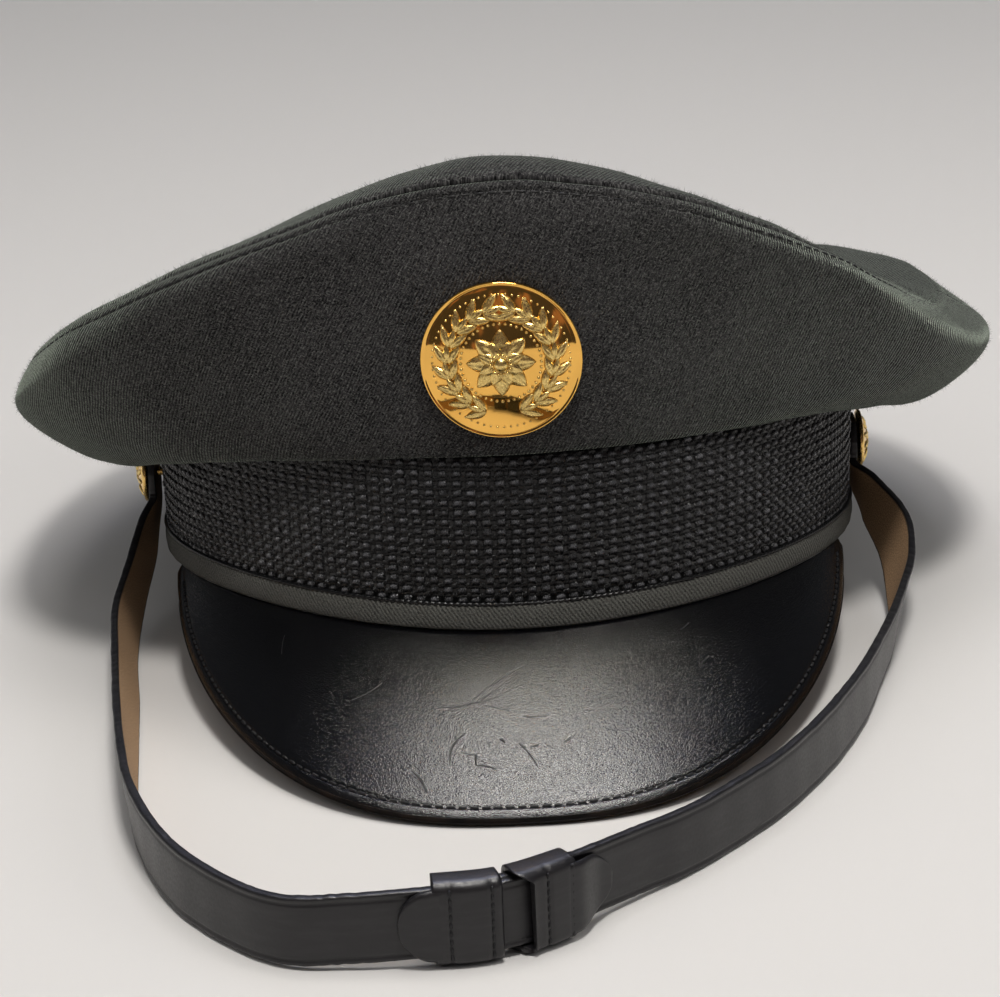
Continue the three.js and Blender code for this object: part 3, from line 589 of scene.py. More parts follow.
WOOL = crown_wool()
FIBRE = fibre_wool()
BRAID = band_braid()
WELT = welt_twill()
PEAK = peak_leather()
PEAK_EDGE = peak_edge()
STRAP = strap_leather()
GILT_DISC = gilt("polished gilt disc", 0.05, (1.0, 0.56, 0.13))
GILT_RELIEF = gilt("satin gilt relief", 0.24, (0.93, 0.68, 0.25), 0.03)
GILT_BUTTON = gilt("gilt button", 0.16, (0.90, 0.60, 0.20), 0.015)
BRASS = gilt("plain brass", 0.4, (0.45, 0.33, 0.13))
BLACK_THREAD = thread("black thread", (0.006, 0.006, 0.007))
WOOL_THREAD = thread("dark thread", (0.006, 0.006, 0.006))


# ---- Band oval and crown surface ----

def oval_normal(angle):
    return unit(vec(np.sin(angle) / BAND_HALF_WIDTH, -np.cos(angle) / BAND_HALF_LENGTH, 0.0))


def oval_point(angle, out, up):
    """The band's oval at an angle from the front, moved out square to it, at a height."""
    angle, out, up = np.broadcast_arrays(np.asarray(angle, float), out, up)
    base = vec(BAND_HALF_WIDTH * np.sin(angle), -BAND_HALF_LENGTH * np.cos(angle), up)
    return base + oval_normal(angle) * out[..., None]


def band_point(angle, out, up):
    """The band leans out by BAND_FLARE from its foot to the crown seam."""
    return oval_point(angle, out + BAND_FLARE * up / SEAM_HEIGHT, up)


def dip(angle):
    """How far the foot of the band drops round the front: the fourth power of the cosine."""
    return FRONT_DIP * np.maximum(0, np.cos(angle)) ** 4


def crown_column(name, angle, share=1.0):
    """A column of CROWN_SECTIONS at any angle, as the trigonometric series through its rows. Each
    order fades with its own power of share, as a skin stretched over the rim does."""
    rows = np.radians(list(CROWN_SECTIONS))
    values = np.array([row[CROWN_COLUMNS.index(name)] for row in CROWN_SECTIONS.values()])
    count = len(values)
    total = 0.0
    for order in range(count // 2 + 1):
        weight = (1 if order in (0, count // 2) else 2) / count
        cosine = weight * np.sum(values * np.cos(order * rows))
        sine = 0.0 if order == count // 2 else weight * np.sum(values * np.sin(order * rows))
        wave = cosine * np.cos(order * angle) + sine * np.sin(order * angle)
        total = total + share**order * wave
    return total


def crest_up(angle, share=1.0):
    return (SEAM_HEIGHT + CROWN_RISE * crown_column("rim_up", angle, share)
            + CREST_ROLL * (0.2 + crown_column("roll", angle, share)))


def crown_point(angle, s):
    """Section of the crown: quadratic curves between the middles of six control legs for s from 0
    at the band to 4 on the crest, then straight in to the middle of the top at s = 5."""
    angle, s = np.broadcast_arrays(np.asarray(angle, float), np.asarray(s, float))
    out = {k: CROWN_OVERHANG * crown_column(k + "_out", angle) for k in ("under", "belly", "rim")}
    up = {k: SEAM_HEIGHT + CROWN_RISE * crown_column(k + "_up", angle) for k in out}
    crest = crest_up(angle)
    flat = np.zeros_like(angle)
    legs = np.stack([
        np.stack([flat + BAND_FLARE + GAP, out["under"], out["belly"], out["rim"],
                  out["rim"] - CREST_IN, out["rim"] - CREST_BACK]),
        np.stack([flat + SEAM_HEIGHT + GAP, up["under"], up["belly"], up["rim"], crest, crest])])
    joints = np.stack([legs[:, 0], (legs[:, 1] + legs[:, 2]) / 2, (legs[:, 2] + legs[:, 3]) / 2,
                       (legs[:, 3] + legs[:, 4]) / 2, legs[:, 5]], 1)
    along = np.clip(s, 0, 4 - 1e-9)
    i = along.astype(int)
    f = along - i

    def pick(table, k):
        k = np.broadcast_to(k, table.shape[:1] + k.shape)[:, None]
        return np.take_along_axis(table, k, 1)[:, 0]

    mix = ((1 - f) ** 2 * pick(joints, i) + 2 * f * (1 - f) * pick(legs, i + 1)
           + f * f * pick(joints, i + 1))
    point = oval_point(angle, mix[0], mix[1])
    share = np.clip(5 - s, 0, 1)
    top = vec(point[..., 0] * share, point[..., 1] * share, crest_up(angle, share))
    return np.where((s > 4)[..., None], top, point)


def crown_normal(angle, s):
    """The way out of the crown's plain section, from the places a small step to each side."""
    step = 0.01
    ahead = np.clip(s + step, 2 * step, 5 - step)
    round_it = crown_point(angle + step, s) - crown_point(angle - step, s)
    up_it = crown_point(angle, ahead) - crown_point(angle, ahead - 2 * step)
    return unit(np.cross(round_it, up_it))


def ripple(angle, s):
    """The cloth's slow unevenness: a few crossed sines of about half a millimetre."""
    return (0.28 * np.sin(5 * angle + 2.1 * s) + 0.22 * np.sin(9 * angle - 3.3 * s + 1.0)
            + 0.16 * np.sin(17 * angle + 1.7 * s + 2.0) + 0.10 * np.sin(31 * angle - 2.2 * s))


def section_speed(angle, s):
    """Millimetres along the crown's section for each step of s."""
    ahead, behind = crown_point(angle, s + 0.01), crown_point(angle, s - 0.01)
    return np.linalg.norm(ahead - behind, axis=-1) / 0.02


def crown_swell(angle, s):
    """How far the finished cloth stands off the plain section: dents, ripples, the sunk rim seam
    with the turned-in allowances that puff up beside it, and the topstitching's groove below."""
    off_seam = (s - RIM) * section_speed(angle, s)
    swell = ripple(angle, s) * np.clip(s / 0.6, 0, 1) * np.clip((5 - s) / 1.3, 0, 1) ** 2
    for at, step, wide, high, depth in CROWN_DENTS:
        turn = np.degrees(np.angle(np.exp(1j * (angle - math.radians(at)))))
        swell = swell - depth * bump_at(turn, wide) * bump_at(s - step, high)
    sewn = 0.6 + 0.4 * np.cos(angle) - 0.5 * bump_at(angle - math.radians(85), math.radians(26))
    swell = swell - sewn * 0.55 * bump_at(off_seam, 0.45)
    swell = swell + 0.22 * bump_at(np.abs(off_seam) - 1.7, 1.1)
    return swell - sewn * 0.36 * bump_at(off_seam + TOPSTITCH_DROP, 0.45)


def crown_skin(angle, s):
    angle, s = np.broadcast_arrays(np.asarray(angle, float), np.asarray(s, float))
    normal = crown_normal(angle, s)
    return crown_point(angle, s) + normal * crown_swell(angle, s)[..., None], normal


def crown_lining(angle, s):
    """The cloth's inner side, its thickness in from the skin. It is pressed thin at the band."""
    skin, normal = crown_skin(angle, s)
    wall = SEWN_CLOTH + (CLOTH - SEWN_CLOTH) * np.clip(s / 0.5, 0, 1)
    return skin - normal * wall[..., None]


def run_length(points, axis):
    """Distance along rows or columns of points, from the first one."""
    step = np.linalg.norm(np.diff(points, axis=axis), axis=-1)
    start = np.zeros_like(np.take(step, [0], axis=axis))
    return np.concatenate([start, np.cumsum(step, axis=axis)], axis=axis)


def crown_side(name, low, high, middle, rows, node):
    """A side panel. Its pattern is the panel unrolled as part of a flat ring, so that the ribs turn
    slowly against it from one side seam to the other."""
    ease, ring_radius, ring_share = 0.0015, 357, 0.28
    angle = span(low + ease, high - ease, rows)[:, None]
    steps = np.concatenate([
        span(0, 0.6, 12), span(0.6, 2.3, 34)[1:], span(2.3, RIM - 0.006, 26)[1:]])[None]
    outside = crown_skin(angle, steps)[0]
    loops = np.concatenate([outside, crown_lining(angle, steps[:, ::-1])], 1)
    up = run_length(outside, 1)
    up = np.concatenate([up, np.repeat(up[:, -1:], steps.size + 1, 1)], 1)
    turn = ring_share * (angle - middle)
    cloth = np.stack([(ring_radius + up) * np.sin(turn), (ring_radius + up) * np.cos(turn)], -1)
    Piece().shell(rest(loops), cloth).build(name, WOOL, "crown_cloth", (node,))


def crown_top():
    """The top panel: rings of the crown surface from rim seam to middle, and their inside."""
    angle = full_turn(320)[None]
    steps = np.concatenate([
        span(RIM + 0.006, 3.3, 26), span(3.3, 4.0, 14)[1:], span(4.0, 4.97, 30)[1:]])[:, None]
    inside = crown_lining(angle, steps[::3][::-1])
    middle = crown_skin(np.array(0.0), np.array(5.0 - 1e-6))[0]
    rings = rest(np.concatenate([inside, crown_skin(angle, steps)[0]], 0))
    points, faces = capped(rings, rest(middle - [0, 0, CLOTH]), rest(middle))
    Piece().add(points, faces, points[faces][..., :2]).build(
        "crown_top_cloth", WOOL, "crown_cloth", ("crown_top",))


def stitches(name, centres, along, up, length, width, finish, slot):
    """Short threads: a rounded bar at each place, along its seam and half sunk in the cloth."""
    shape, faces = ball(4, 6, 0.75)
    shape = shape * [length / 2, width / 2, width / 2]
    frames = np.stack([along, np.cross(up, along), up], 1)
    return Piece().repeat(shape, faces, centres, frames).build(name, finish, slot)


def seam_places(points, normals, pitch):
    """Places every pitch along a line of points: how far along it they are, the place, the way
    along the line and the way up from the surface."""
    run = run_length(points, 0)
    at = np.arange(pitch / 2, run[-1], pitch)
    mix = lambda where, steps, rows: vec(*(np.interp(where, steps, row) for row in rows.T))
    along = unit(mix(at + 0.2, run, points) - mix(at - 0.2, run, points))
    share = at / run[-1]
    up = mix(share * (len(points) - 1), np.arange(len(points)), normals)
    return share, mix(at, run, points), along, square_to(up, along)


def crown_topstitch():
    """Stitches in the groove under the rim seam, all the way round. They sink with the puckered
    cloth at the right side seam."""
    angle = span(-math.pi, math.pi, 721)
    line, normal = crown_skin(angle, RIM - TOPSTITCH_DROP / section_speed(angle, RIM - 0.01))
    share, spot, along, up = seam_places(line, normal, 3.2)
    around = np.interp(share, span(0, 1, len(angle)), angle)[:, None]
    spot = spot + up * (0.05 - 0.6 * bump_at(around - math.radians(88), math.radians(20)))
    stitches("crown_topstitch", rest(spot), lean(along), lean(up), 2.2, 0.5, WOOL_THREAD,
             "crown_cloth")


def crown_fuzz(count):
    """Loose fibres: thin three-sided spikes that lean off the cloth in all directions."""
    rng = np.random.default_rng(SEED)
    angle = rng.uniform(-math.pi, math.pi, count)
    s = rng.uniform(0.15, 4.7, count)
    root, normal = crown_skin(angle, s)
    way = unit(normal * rng.uniform(0.25, 1.0, (count, 1)) + rng.normal(size=(count, 3)) * 0.7)
    side = unit(np.cross(way, rng.normal(size=(count, 3))))
    other = np.cross(way, side)
    length = rng.uniform(0.5, 1.5, count)[:, None]
    width = rng.uniform(0.022, 0.042, count)[:, None]
    foot = [root - normal * 0.1 + (side * math.cos(a) + other * math.sin(a)) * width
            for a in full_turn(3)]
    points = np.stack([*foot, root + way * length], 1)
    faces = copied(np.array([[0, 2, 1], [0, 1, 3], [1, 2, 3], [2, 0, 3]]), count, 4)
    Piece().add(rest(points), faces).build("crown_fuzz", FIBRE, "crown_cloth", smooth=False)


# ---- Band, welt and peak ----

def knob_shape():
    """One knob of the braid, on a grid across and up: its back is the root of a parabola across by
    a power of a sine of a power upwards, so that it is plumpest near its top."""
    u, w = np.meshgrid(span(-1, 1, KNOB_GRID[0]), span(0, 1, KNOB_GRID[1]), indexing="ij")
    plump = np.clip(1 - u**2, 0, 1) ** 0.5 * np.sin(math.pi * w**1.5) ** 0.6
    across = 1.34 * u * (0.86 + 0.14 * np.sin(math.pi * w)) + 0.2 * (w - 0.5)
    up = 2.05 * (w - 0.5) - 0.42 * u**2
    return vec(across, plump, up).reshape(-1, 3)


def band_wall():
    """The plain wall of the band, under the braid. With no mark it takes the braid's near black:
    partly its own black, partly painted shade for the gaps between the knobs.
    """
    rows, columns = 420, 16
    angle = full_turn(rows)[:, None]
    foot = WELT_HEIGHT + 0.25 - dip(angle)
    up = foot + (SEAM_HEIGHT - 0.05 - foot) * span(0, 1, columns)[None]
    loops = [band_point(angle, -0.62, up), band_point(angle, -BAND_WALL, up[:, ::-1])]
    Piece().shell(rest(np.concatenate(loops, 1)), close_rows=True).build(
        "band_wall", BRAID, "band_braid", ("band",))


def band_braid():
    """The braid in two halves: copies of one knob, BRAID_PITCH apart along rows BRAID_ROW apart.
    Every other row is sunk, smaller and half a knob along."""
    fine = span(-math.pi, math.pi, 2881)
    ring = run_length(oval_point(fine, 0, 0), 0)
    knobs = round(ring[-1] / BRAID_PITCH)
    row, column = np.divmod(np.arange(BRAID_ROWS * knobs), knobs)
    rng = np.random.default_rng(SEED)
    place = (column + 0.5 * (row % 2)) / knobs * ring[-1]
    angle = np.interp(place, ring, fine)
    height = WELT_HEIGHT + 0.9 - dip(angle) + BRAID_ROW * row
    place = place + rng.normal(size=place.shape) * 0.07
    height = height + rng.normal(size=place.shape) * 0.05
    size = 1 + rng.normal(size=(len(place), 3)) * (0.04, 0.12, 0.06)
    tip = rng.normal(size=place.shape) * 0.09
    sunk = (row % 2)[:, None]
    shape = knob_shape()
    quads = np.roll(grid_faces(*KNOB_GRID)[0], -1, 1)  # split along their other diagonal
    front = np.abs(angle) <= math.pi / 2
    for name, half in (("front", front), ("back", ~front)):
        k = half & (height < SEAM_HEIGHT - 0.3)
        x, y, z = np.moveaxis(shape[None] * (size * (1 - 0.22 * sunk))[k, None], -1, 0)
        turn = tip[k, None]
        along = place[k, None] + x * np.cos(turn) - z * np.sin(turn)
        up = height[k, None] + x * np.sin(turn) + z * np.cos(turn)
        out = -0.68 + 0.92 * y - 0.34 * sunk[k] * y
        faces = copied(quads, len(out), len(shape))
        cloth = np.stack([along, up], -1).reshape(-1, 2)
        # Painted light for the finish's colour: a painted highlight that grows to each knob's top,
        # painted shade towards its edges, and painted shade on the sunk rows.
        painted_knob_light = y * (0.2 + 0.8 * shape[None, :, 1] ** 0.5) * (1 - 0.75 * sunk[k])
        points = rest(band_point(np.interp(along, ring, fine), out, up))
        Piece().add(points, faces, cloth[faces], painted_knob_light.ravel()).build(
            f"band_braid_{name}", BRAID, "band_braid")


def band_selvedge():
    """The braid's lower edge, a twisted cord on the line between band and welt. Its section is a
    figure of two lobes that turns once every two pitches along the line."""
    radius, pitch = 0.62, 1.5
    angle = full_turn(1400)
    line = band_point(angle, 0.30, WELT_HEIGHT + 0.10 - dip(angle))
    run = run_length(np.concatenate([line, line[:1]]), 0)
    phase = (run[:-1] / run[-1] * round(run[-1] / (2 * pitch)) * 2 * math.pi)[:, None]
    around = full_turn(10)[None]
    reach = radius * (0.72 + 0.28 * np.cos(2 * (around - phase)))
    ring = oval_normal(angle)[:, None] * (reach * np.cos(around))[..., None]
    ring[..., 2] += reach * np.sin(around)
    Piece().shell(rest(line[:, None] + ring), close_rows=True).build(
        "band_selvedge", BRAID, "band_braid")


def welt_cloth():
    """The welt: a soft roll. Its outside swells by WELT_OUT, after a power of the cosine."""
    rows, columns = 420, 26
    angle = full_turn(rows)[:, None]
    turn = span(-math.pi / 2, math.pi / 2, columns)[None]
    out = WELT_OUT * (0.3 + 0.7 * np.cos(turn) ** 0.8)
    out = out + 0.10 * np.sin(23 * angle) * np.cos(turn) + 0.06 * np.sin(61 * angle + 1)
    outside = oval_point(angle, out, WELT_HEIGHT * (0.5 + 0.5 * np.sin(turn)) - dip(angle))
    inside = oval_point(angle, -BAND_WALL, WELT_HEIGHT * np.array([[1, 0.5, 0]]) - dip(angle))
    run = run_length(oval_point(span(0, 2 * math.pi, rows + 1), 0, 0), 0)[:, None]
    arc = run_length(outside[:1], 1)
    arc = np.concatenate([arc, np.full((1, 4), arc[0, -1])], 1)
    cloth = np.stack(np.broadcast_arrays(run, arc), -1)
    Piece().shell(rest(np.concatenate([outside, inside], 1)), cloth, close_rows=True).build(
        "welt_cloth", WELT, "welt_cloth", ("welt",))


def peak_point(across, share):
    """The peak: straight rules from an arc under the welt to a rounded outer edge, where the edge's
    width follows sine to the power 0.8 and its reach cosine to the power 1.18, bulged a little."""
    across, share = np.broadcast_arrays(np.asarray(across, float), np.asarray(share, float))
    angle = across * PEAK_CORNER
    inner = oval_point(angle, 0.0, -dip(angle) - GAP)
    turn = across * math.pi / 2
    wide = np.sign(across) * np.abs(np.sin(turn)) ** (2 / 2.5)
    reach = np.maximum(0, np.cos(turn)) ** (2 / 1.7)
    front = -(BAND_HALF_LENGTH + WELT_OUT + PEAK_FORWARD)
    outer = vec(PEAK_HALF_WIDTH * wide, -PEAK_CORNER_BACK + reach * (front + PEAK_CORNER_BACK),
                -PEAK_CORNER_DROP - reach * (PEAK_DROP - PEAK_CORNER_DROP))
    point = inner + (outer - inner) * share[..., None]
    point[..., 2] += PEAK_BULGE * np.sin(math.pi * share) * np.cos(turn)
    return point


def peak_normal(across, share):
    step = 0.005
    a = np.clip(across, step - 1, 1 - step)
    b = np.clip(share, step, 1 - step)
    side = peak_point(a + step, b) - peak_point(a - step, b)
    out = peak_point(a, b + step) - peak_point(a, b - step)
    return unit(np.cross(out, side))


def peak_length(across):
    """How long the peak is from the welt to its edge, along its straight rules."""
    return np.linalg.norm(peak_point(across, 1.0) - peak_point(across, 0.0), axis=-1)


def peak_hide():
    """The peak: past a stitched groove its top rolls over to the edge, by one less the root of one
    less the power 2.6 of the way over the last 3 mm."""
    line = span(-1, 1, 300)
    across = (np.sign(line) * np.abs(line) ** 1.12)[:, None]
    length = peak_length(across)
    inset = np.array([0.0, 0.08, 0.25, 0.5, 0.8, 1.15, 1.6, 2.1, 2.5, 2.8, 3.1, 3.4, 3.7, 4.1, 4.6,
                      *span(5.5, 9.0, 4)])
    rim = 1 - inset[None] / np.maximum(length, 1.2)
    field = span(0, 1, 34)[None] * np.maximum(rim[:, -1:], 0.02)
    share = np.clip(np.concatenate([field, rim[:, ::-1][:, 1:]], 1), 0, 1)
    to_edge = (1 - share) * length
    radius = np.minimum(3.0, length / 3 + 0.05)
    curl = np.clip(1 - to_edge / radius, 0, 1)
    drop = radius / 3.0 * 1.55 * (1 - np.sqrt(1 - curl**2.6))
    groove = 0.28 * bump_at(to_edge - PEAK_SEAM_IN, 0.42) * np.clip(length / 6 - 0.6, 0, 1)
    lip = 0.05 * bump_at(to_edge - 2.4, 0.6)
    wave = 0.12 * np.sin(7 * across + 6 * share) * np.clip(to_edge / 8, 0, 1)
    swell = (wave + lip - drop - groove)[..., None]
    top = peak_point(across, share) + peak_normal(across, share) * swell
    low, fall = share[:, ::-2], PEAK_WALL - drop[:, ::-2]
    under = peak_point(across, low) - peak_normal(across, low) * fall[..., None]
    cloth = np.stack([top[..., 0], share * length], -1)
    cloth = np.concatenate([cloth, np.repeat(cloth[:, -1:], low.shape[1] + 1, 1)], 1)
    mark = np.concatenate([np.clip(1 - (to_edge - 0.7) / 0.3, 0, 1), np.ones_like(low)], 1)
    Piece().shell(rest(np.concatenate([top, under], 1)), cloth, mark.ravel()).build(
        "peak_hide", PEAK, "peak_leather", ("peak",), edge=PEAK_EDGE)


def peak_stitches():
    """Stitches in the groove along the peak's edge."""
    line = span(-0.93, 0.93, 400)
    seam = 1 - PEAK_SEAM_IN / peak_length(line)
    _, spot, along, up = seam_places(peak_point(line, seam), peak_normal(line, seam), 2.7)
    stitches("peak_stitches", rest(spot - up * 0.12), lean(along), lean(up), 2.0, 0.7, BLACK_THREAD,
             "peak_leather")


# ---- Badge and buttons ----

def lathe(profile, sides):
    """A profile of radius and height turned about +Z, from the axis to the axis."""
    radius, height = np.array(profile).T
    turn = full_turn(sides)
    ring = vec(radius[1:-1, None] * np.cos(turn), radius[1:-1, None] * np.sin(turn),
               height[1:-1, None])
    return capped(ring, [0, 0, height[0]], [0, 0, height[-1]])


def seated(points, foot, direction):
    """Moves points modelled along +Z on to a foot, with +Z along the direction and +Y up."""
    out = unit(direction)
    side = unit(np.cross([0.0, 0.0, 1.0], out))
    return foot + points @ np.stack([side, np.cross(out, side), out])


def badge_dome(radius):
    return BADGE_WALL + BADGE_DOME * (1 - (radius / BADGE_RADIUS) ** 2)


def leaf_shape(length, width, height, veins):
    """A leaf from its foot along +X: its half-width is a sine of the way along, its back a parabola
    across, cut by a midrib and by slanting veins. Its underside is flat and sunk below zero."""
    p, q = np.meshgrid(span(0.02, 0.99, 13), span(-1, 1, 9), indexing="ij")
    half = width / 2 * np.sin(math.pi * p**0.85) ** 0.75
    rise = height * np.sin(math.pi * p**0.8) ** 0.5 * (1 - 0.75 * q**2)
    ribs = height * 0.1 * np.sin((p * veins + np.abs(q) * 1.2) * 2 * math.pi) * (1 - q**2)
    top = vec(length * p, half * q, rise * (1 - 0.35 * bump_at(q, 0.18)) + ribs)
    low = vec(length * p, half * q * 0.9, -height * 0.5)
    return np.concatenate([top, low[:, ::-1]], 1)


def leaf_on(dome, shape, radius, angle, heading, lift=0.0):
    """A leaf moved to a radius and an angle on a dome, and turned to its heading."""
    c, s = math.cos(heading), math.sin(heading)
    x, y, z = np.moveaxis(shape, -1, 0)
    x, y = x * c - y * s + radius * math.cos(angle), x * s + y * c + radius * math.sin(angle)
    return vec(x, y, z + dome(np.hypot(x, y)) + lift)


def badge():
    """The badge: a domed disc with a rim, a post behind it, and in relief a wreath of two rows of
    leaves, a rosette of two rings of petals, and beads."""
    step = next(s for s in span(0.3, RIM, 2000) if crown_point(0.0, s)[2] >= BADGE_HEIGHT)
    direction = crown_normal(np.array(0.0), np.array(step))
    foot = crown_point(0.0, step) + direction * BADGE_STAND
    place = lambda points: rest(seated(points, foot, direction))
    r, wall = BADGE_RADIUS, BADGE_WALL
    profile = [(0, 0), (r - 0.4, 0), (r, 0.35), (r, wall + 0.15), (r - 0.15, wall + 0.36),
               (r - 0.45, wall + 0.38), (r - 0.7, wall + 0.2),
               (r - 0.85, badge_dome(r - 0.9) - 0.05)]
    profile += [(radius, badge_dome(radius)) for radius in span(r - 1.1, 0.5, 30)]
    points, faces = lathe(profile + [(0, badge_dome(0))], 160)
    Piece().add(place(points), faces).build("badge_disc", GILT_DISC, "gilt", ("badge",), crisp=50)
    post, faces = lathe([(0, -6), (1.5, -6), (1.5, 0.2), (0, 0.2)], 24)
    Piece().add(place(post), faces).build("badge_post", BRASS, "gilt", crisp=40)

    relief = Piece()
    put = lambda *leaf: relief.shell(place(leaf_on(badge_dome, *leaf)))
    leaf, small = leaf_shape(5.4, 2.3, 1.0, 3), leaf_shape(3.9, 1.7, 0.75, 2)
    ring = 12.4
    for side in (-1, 1):
        for along in span(0.10, 0.90, 9):
            angle = -math.pi / 2 + side * along * math.pi
            for splay in (-0.6, 0.6):
                put(leaf, ring, angle, angle + side * (math.pi / 2 + splay))
            put(small, ring, angle + side * 0.06, angle + side * math.pi / 2, 0.35)
    for turn in full_turn(8):
        put(leaf_shape(7.6, 4.4, 1.1, 3), 0.5, turn, turn)
        put(leaf_shape(5.2, 3.2, 1.0, 2), 0.4, turn + math.pi / 8, turn + math.pi / 8, 0.55)
    shape, faces = ball(5, 8)
    beads = ((0, 1, 2, 0.5), (2.35, 14, 0.42, 1.45), (9.3, 44, 0.36, 0.15), (15.9, 64, 0.3, 0.05))
    for radius, count, size, lift in beads:
        turn = full_turn(count)
        centres = vec(radius * np.cos(turn), radius * np.sin(turn), badge_dome(radius) + lift)
        relief.add(place(centres[:, None] + shape * size), copied(faces, count, len(shape)))
    relief.build("badge_relief", GILT_RELIEF, "gilt")
    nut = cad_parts["badge_nut"].data.materials
    nut.clear()
    nut.append(BRASS)


def button_angle(side, forward):
    return np.array(side * math.acos(forward / BAND_HALF_LENGTH))


def side_buttons():
    """Two gilt buttons on the band's sides: a low dome in a raised rim, with a ring of leaves round
    a small rosette in relief, and the shank and washer behind it."""
    r = BUTTON_RADIUS
    dome = lambda radius: 0.8 + 2.0 * (1 - (radius / r) ** 2)
    for name, side, play, forward in BUTTONS:
        angle = button_angle(side, forward)
        direction = oval_normal(angle)
        stand = play + STRAP_WALL + BUTTON_STAND
        foot = band_point(angle, stand, BUTTON_HEIGHT)
        place = lambda points: rest(seated(points, foot, direction))
        reach = -(stand + BAND_WALL + GAP)
        profile = [(0, reach - 0.8), (4, reach - 0.8), (4, reach), (1.2, reach), (1.2, 0),
                   (r - 0.6, 0), (r - 0.1, 0.25), (r, 0.6), (r - 0.1, 1.0), (r - 0.35, 1.15),
                   (r - 0.6, 1.05), (r - 0.8, dome(r - 0.8) - 0.05)]
        profile += [(radius, dome(radius)) for radius in span(r - 1.1, 0.4, 14)] + [(0, dome(0))]
        points, faces = lathe(profile, 72)
        Piece().add(place(points), faces).build(
            f"button_{name}_body", GILT_BUTTON, "gilt", (f"button_{name}",), crisp=45)
        relief = Piece()
        rings = ((3.6, 12, 3.2, 1.5, 0.5), (0.3, 7, 2.9, 1.7, 0.0))
        for radius, count, length, width, slant in rings:
            for turn in full_turn(count):
                leaf = leaf_on(dome, leaf_shape(length, width, 0.55, 2), radius, turn, turn + slant)
                relief.shell(place(leaf))
        relief.build(f"button_{name}_relief", GILT_RELIEF, "gilt")


# ---- Chin strap ----

def strap_starts():
    """Where each strap's middle line passes its button, in the table's frame."""
    return [rest(band_point(button_angle(side, forward), play + STRAP_WALL / 2 + side * LAP / 2,
                            BUTTON_HEIGHT)) for _, side, play, forward in BUTTONS]


def strap_rows():
    """The rows of STRAP_ROUTE in millimetres, with their two angles."""
    left, right = strap_starts()
    standing = STRAP_WIDTH / 2 + GAP
    rows = []
    for across, along, up, tip, turn in STRAP_ROUTE:
        start = left if across < 0 else right
        rows.append((abs(start[0]) * across, start[1] - STRAP_REACH * along,
                     standing + (start[2] - standing) * up, tip, turn))
    return np.array(rows)


ROUTE = strap_rows()


def route_at(u):
    """The strap's middle line: a centripetal spline through its rows, at u in row numbers."""
    u = np.asarray(u, float)
    last = len(ROUTE) - 1
    i = np.clip(np.floor(u).astype(int), 0, last - 1)
    padded = np.concatenate([[2 * ROUTE[0] - ROUTE[1]], ROUTE, [2 * ROUTE[-1] - ROUTE[-2]]])
    p0, p1, p2, p3 = (padded[i + k] for k in range(4))
    gap = lambda a, b: np.sqrt(np.linalg.norm((a - b)[..., :3], axis=-1))[..., None]
    d0, d1, d2 = gap(p0, p1), gap(p1, p2), gap(p2, p3)
    slope_in = (p1 - p0) / d0 - (p2 - p0) / (d0 + d1) + (p2 - p1) / d1
    slope_out = (p2 - p1) / d1 - (p3 - p1) / (d1 + d2) + (p3 - p2) / d2
    m1, m2, rise, f = slope_in * d1, slope_out * d1, p2 - p1, (u - i)[..., None]
    return p1 + m1 * f + (3 * rise - 2 * m1 - m2) * f**2 + (m1 + m2 - 2 * rise) * f**3


def route_frame(u):
    """Middle, way onwards, way across the strap and outward normal at each place of the route."""
    last = len(ROUTE) - 1
    row = route_at(u)
    ahead, behind = route_at(np.minimum(u + 0.02, last)), route_at(np.maximum(u - 0.02, 0))
    onward = unit((ahead - behind)[..., :3])
    a, b = np.radians(row[..., 3]), np.radians(row[..., 4])
    across = square_to(vec(np.sin(a), -np.cos(a) * np.cos(b), np.cos(a) * np.sin(b)), onward)
    return row[..., :3], onward, across, np.cross(onward, across)


def route_offset(u, out, over):
    """Points off the route: out along its normal and over across the strap."""
    middle, _, across, normal = route_frame(u)
    return middle + normal * out[..., None] + across * over[..., None]


def route_where(x):
    """The place on the route's front stretch that is x to the side of the middle."""
    u = span(4, len(ROUTE) - 5, 4001)
    return float(np.interp(x, route_at(u)[:, 0], u))


def keeper_span(x):
    """Both ends, on the route, of a keeper whose middle is at x."""
    centre = route_where(x)
    pace = np.linalg.norm(route_at(centre + 0.05)[:3] - route_at(centre - 0.05)[:3]) / 0.1
    return centre - KEEPER_LENGTH / 2 / pace, centre + KEEPER_LENGTH / 2 / pace


KEEPERS = (keeper_span(-12.8), keeper_span(2.0))


def strap_section():
    """Distance out and over round one section of strap, from the foot of its outer face: a bar with
    eased edges and a creased line near each edge of that face."""
    half, tall, ease = STRAP_WALL / 2, STRAP_WIDTH / 2, 0.55
    over_face = np.array([-7.1, -6.7, -6.35, -6, -5.5, -4, -2, 0, 2, 4, 5.5, 6, 6.35, 6.7, 7.1])
    crease = 0.28 * bump_at(np.abs(over_face) - 6.35, 0.3)
    corner = [(math.cos(a), math.sin(a)) for a in np.radians([8, 30, 60, 82])]
    edge = [(half - ease + ease * c, tall - ease + ease * s) for c, s in corner]
    edge += [(ease / 2 - half - ease / 2 * s, tall - ease / 2 + ease / 2 * c) for c, s in corner]
    back = [(-half, over) for over in span(6.9, -6.9, 9)]
    low = [(out, -over) for out, over in edge[::-1]]
    return np.array([*zip(half - crease, over_face), *edge, *back, *low])


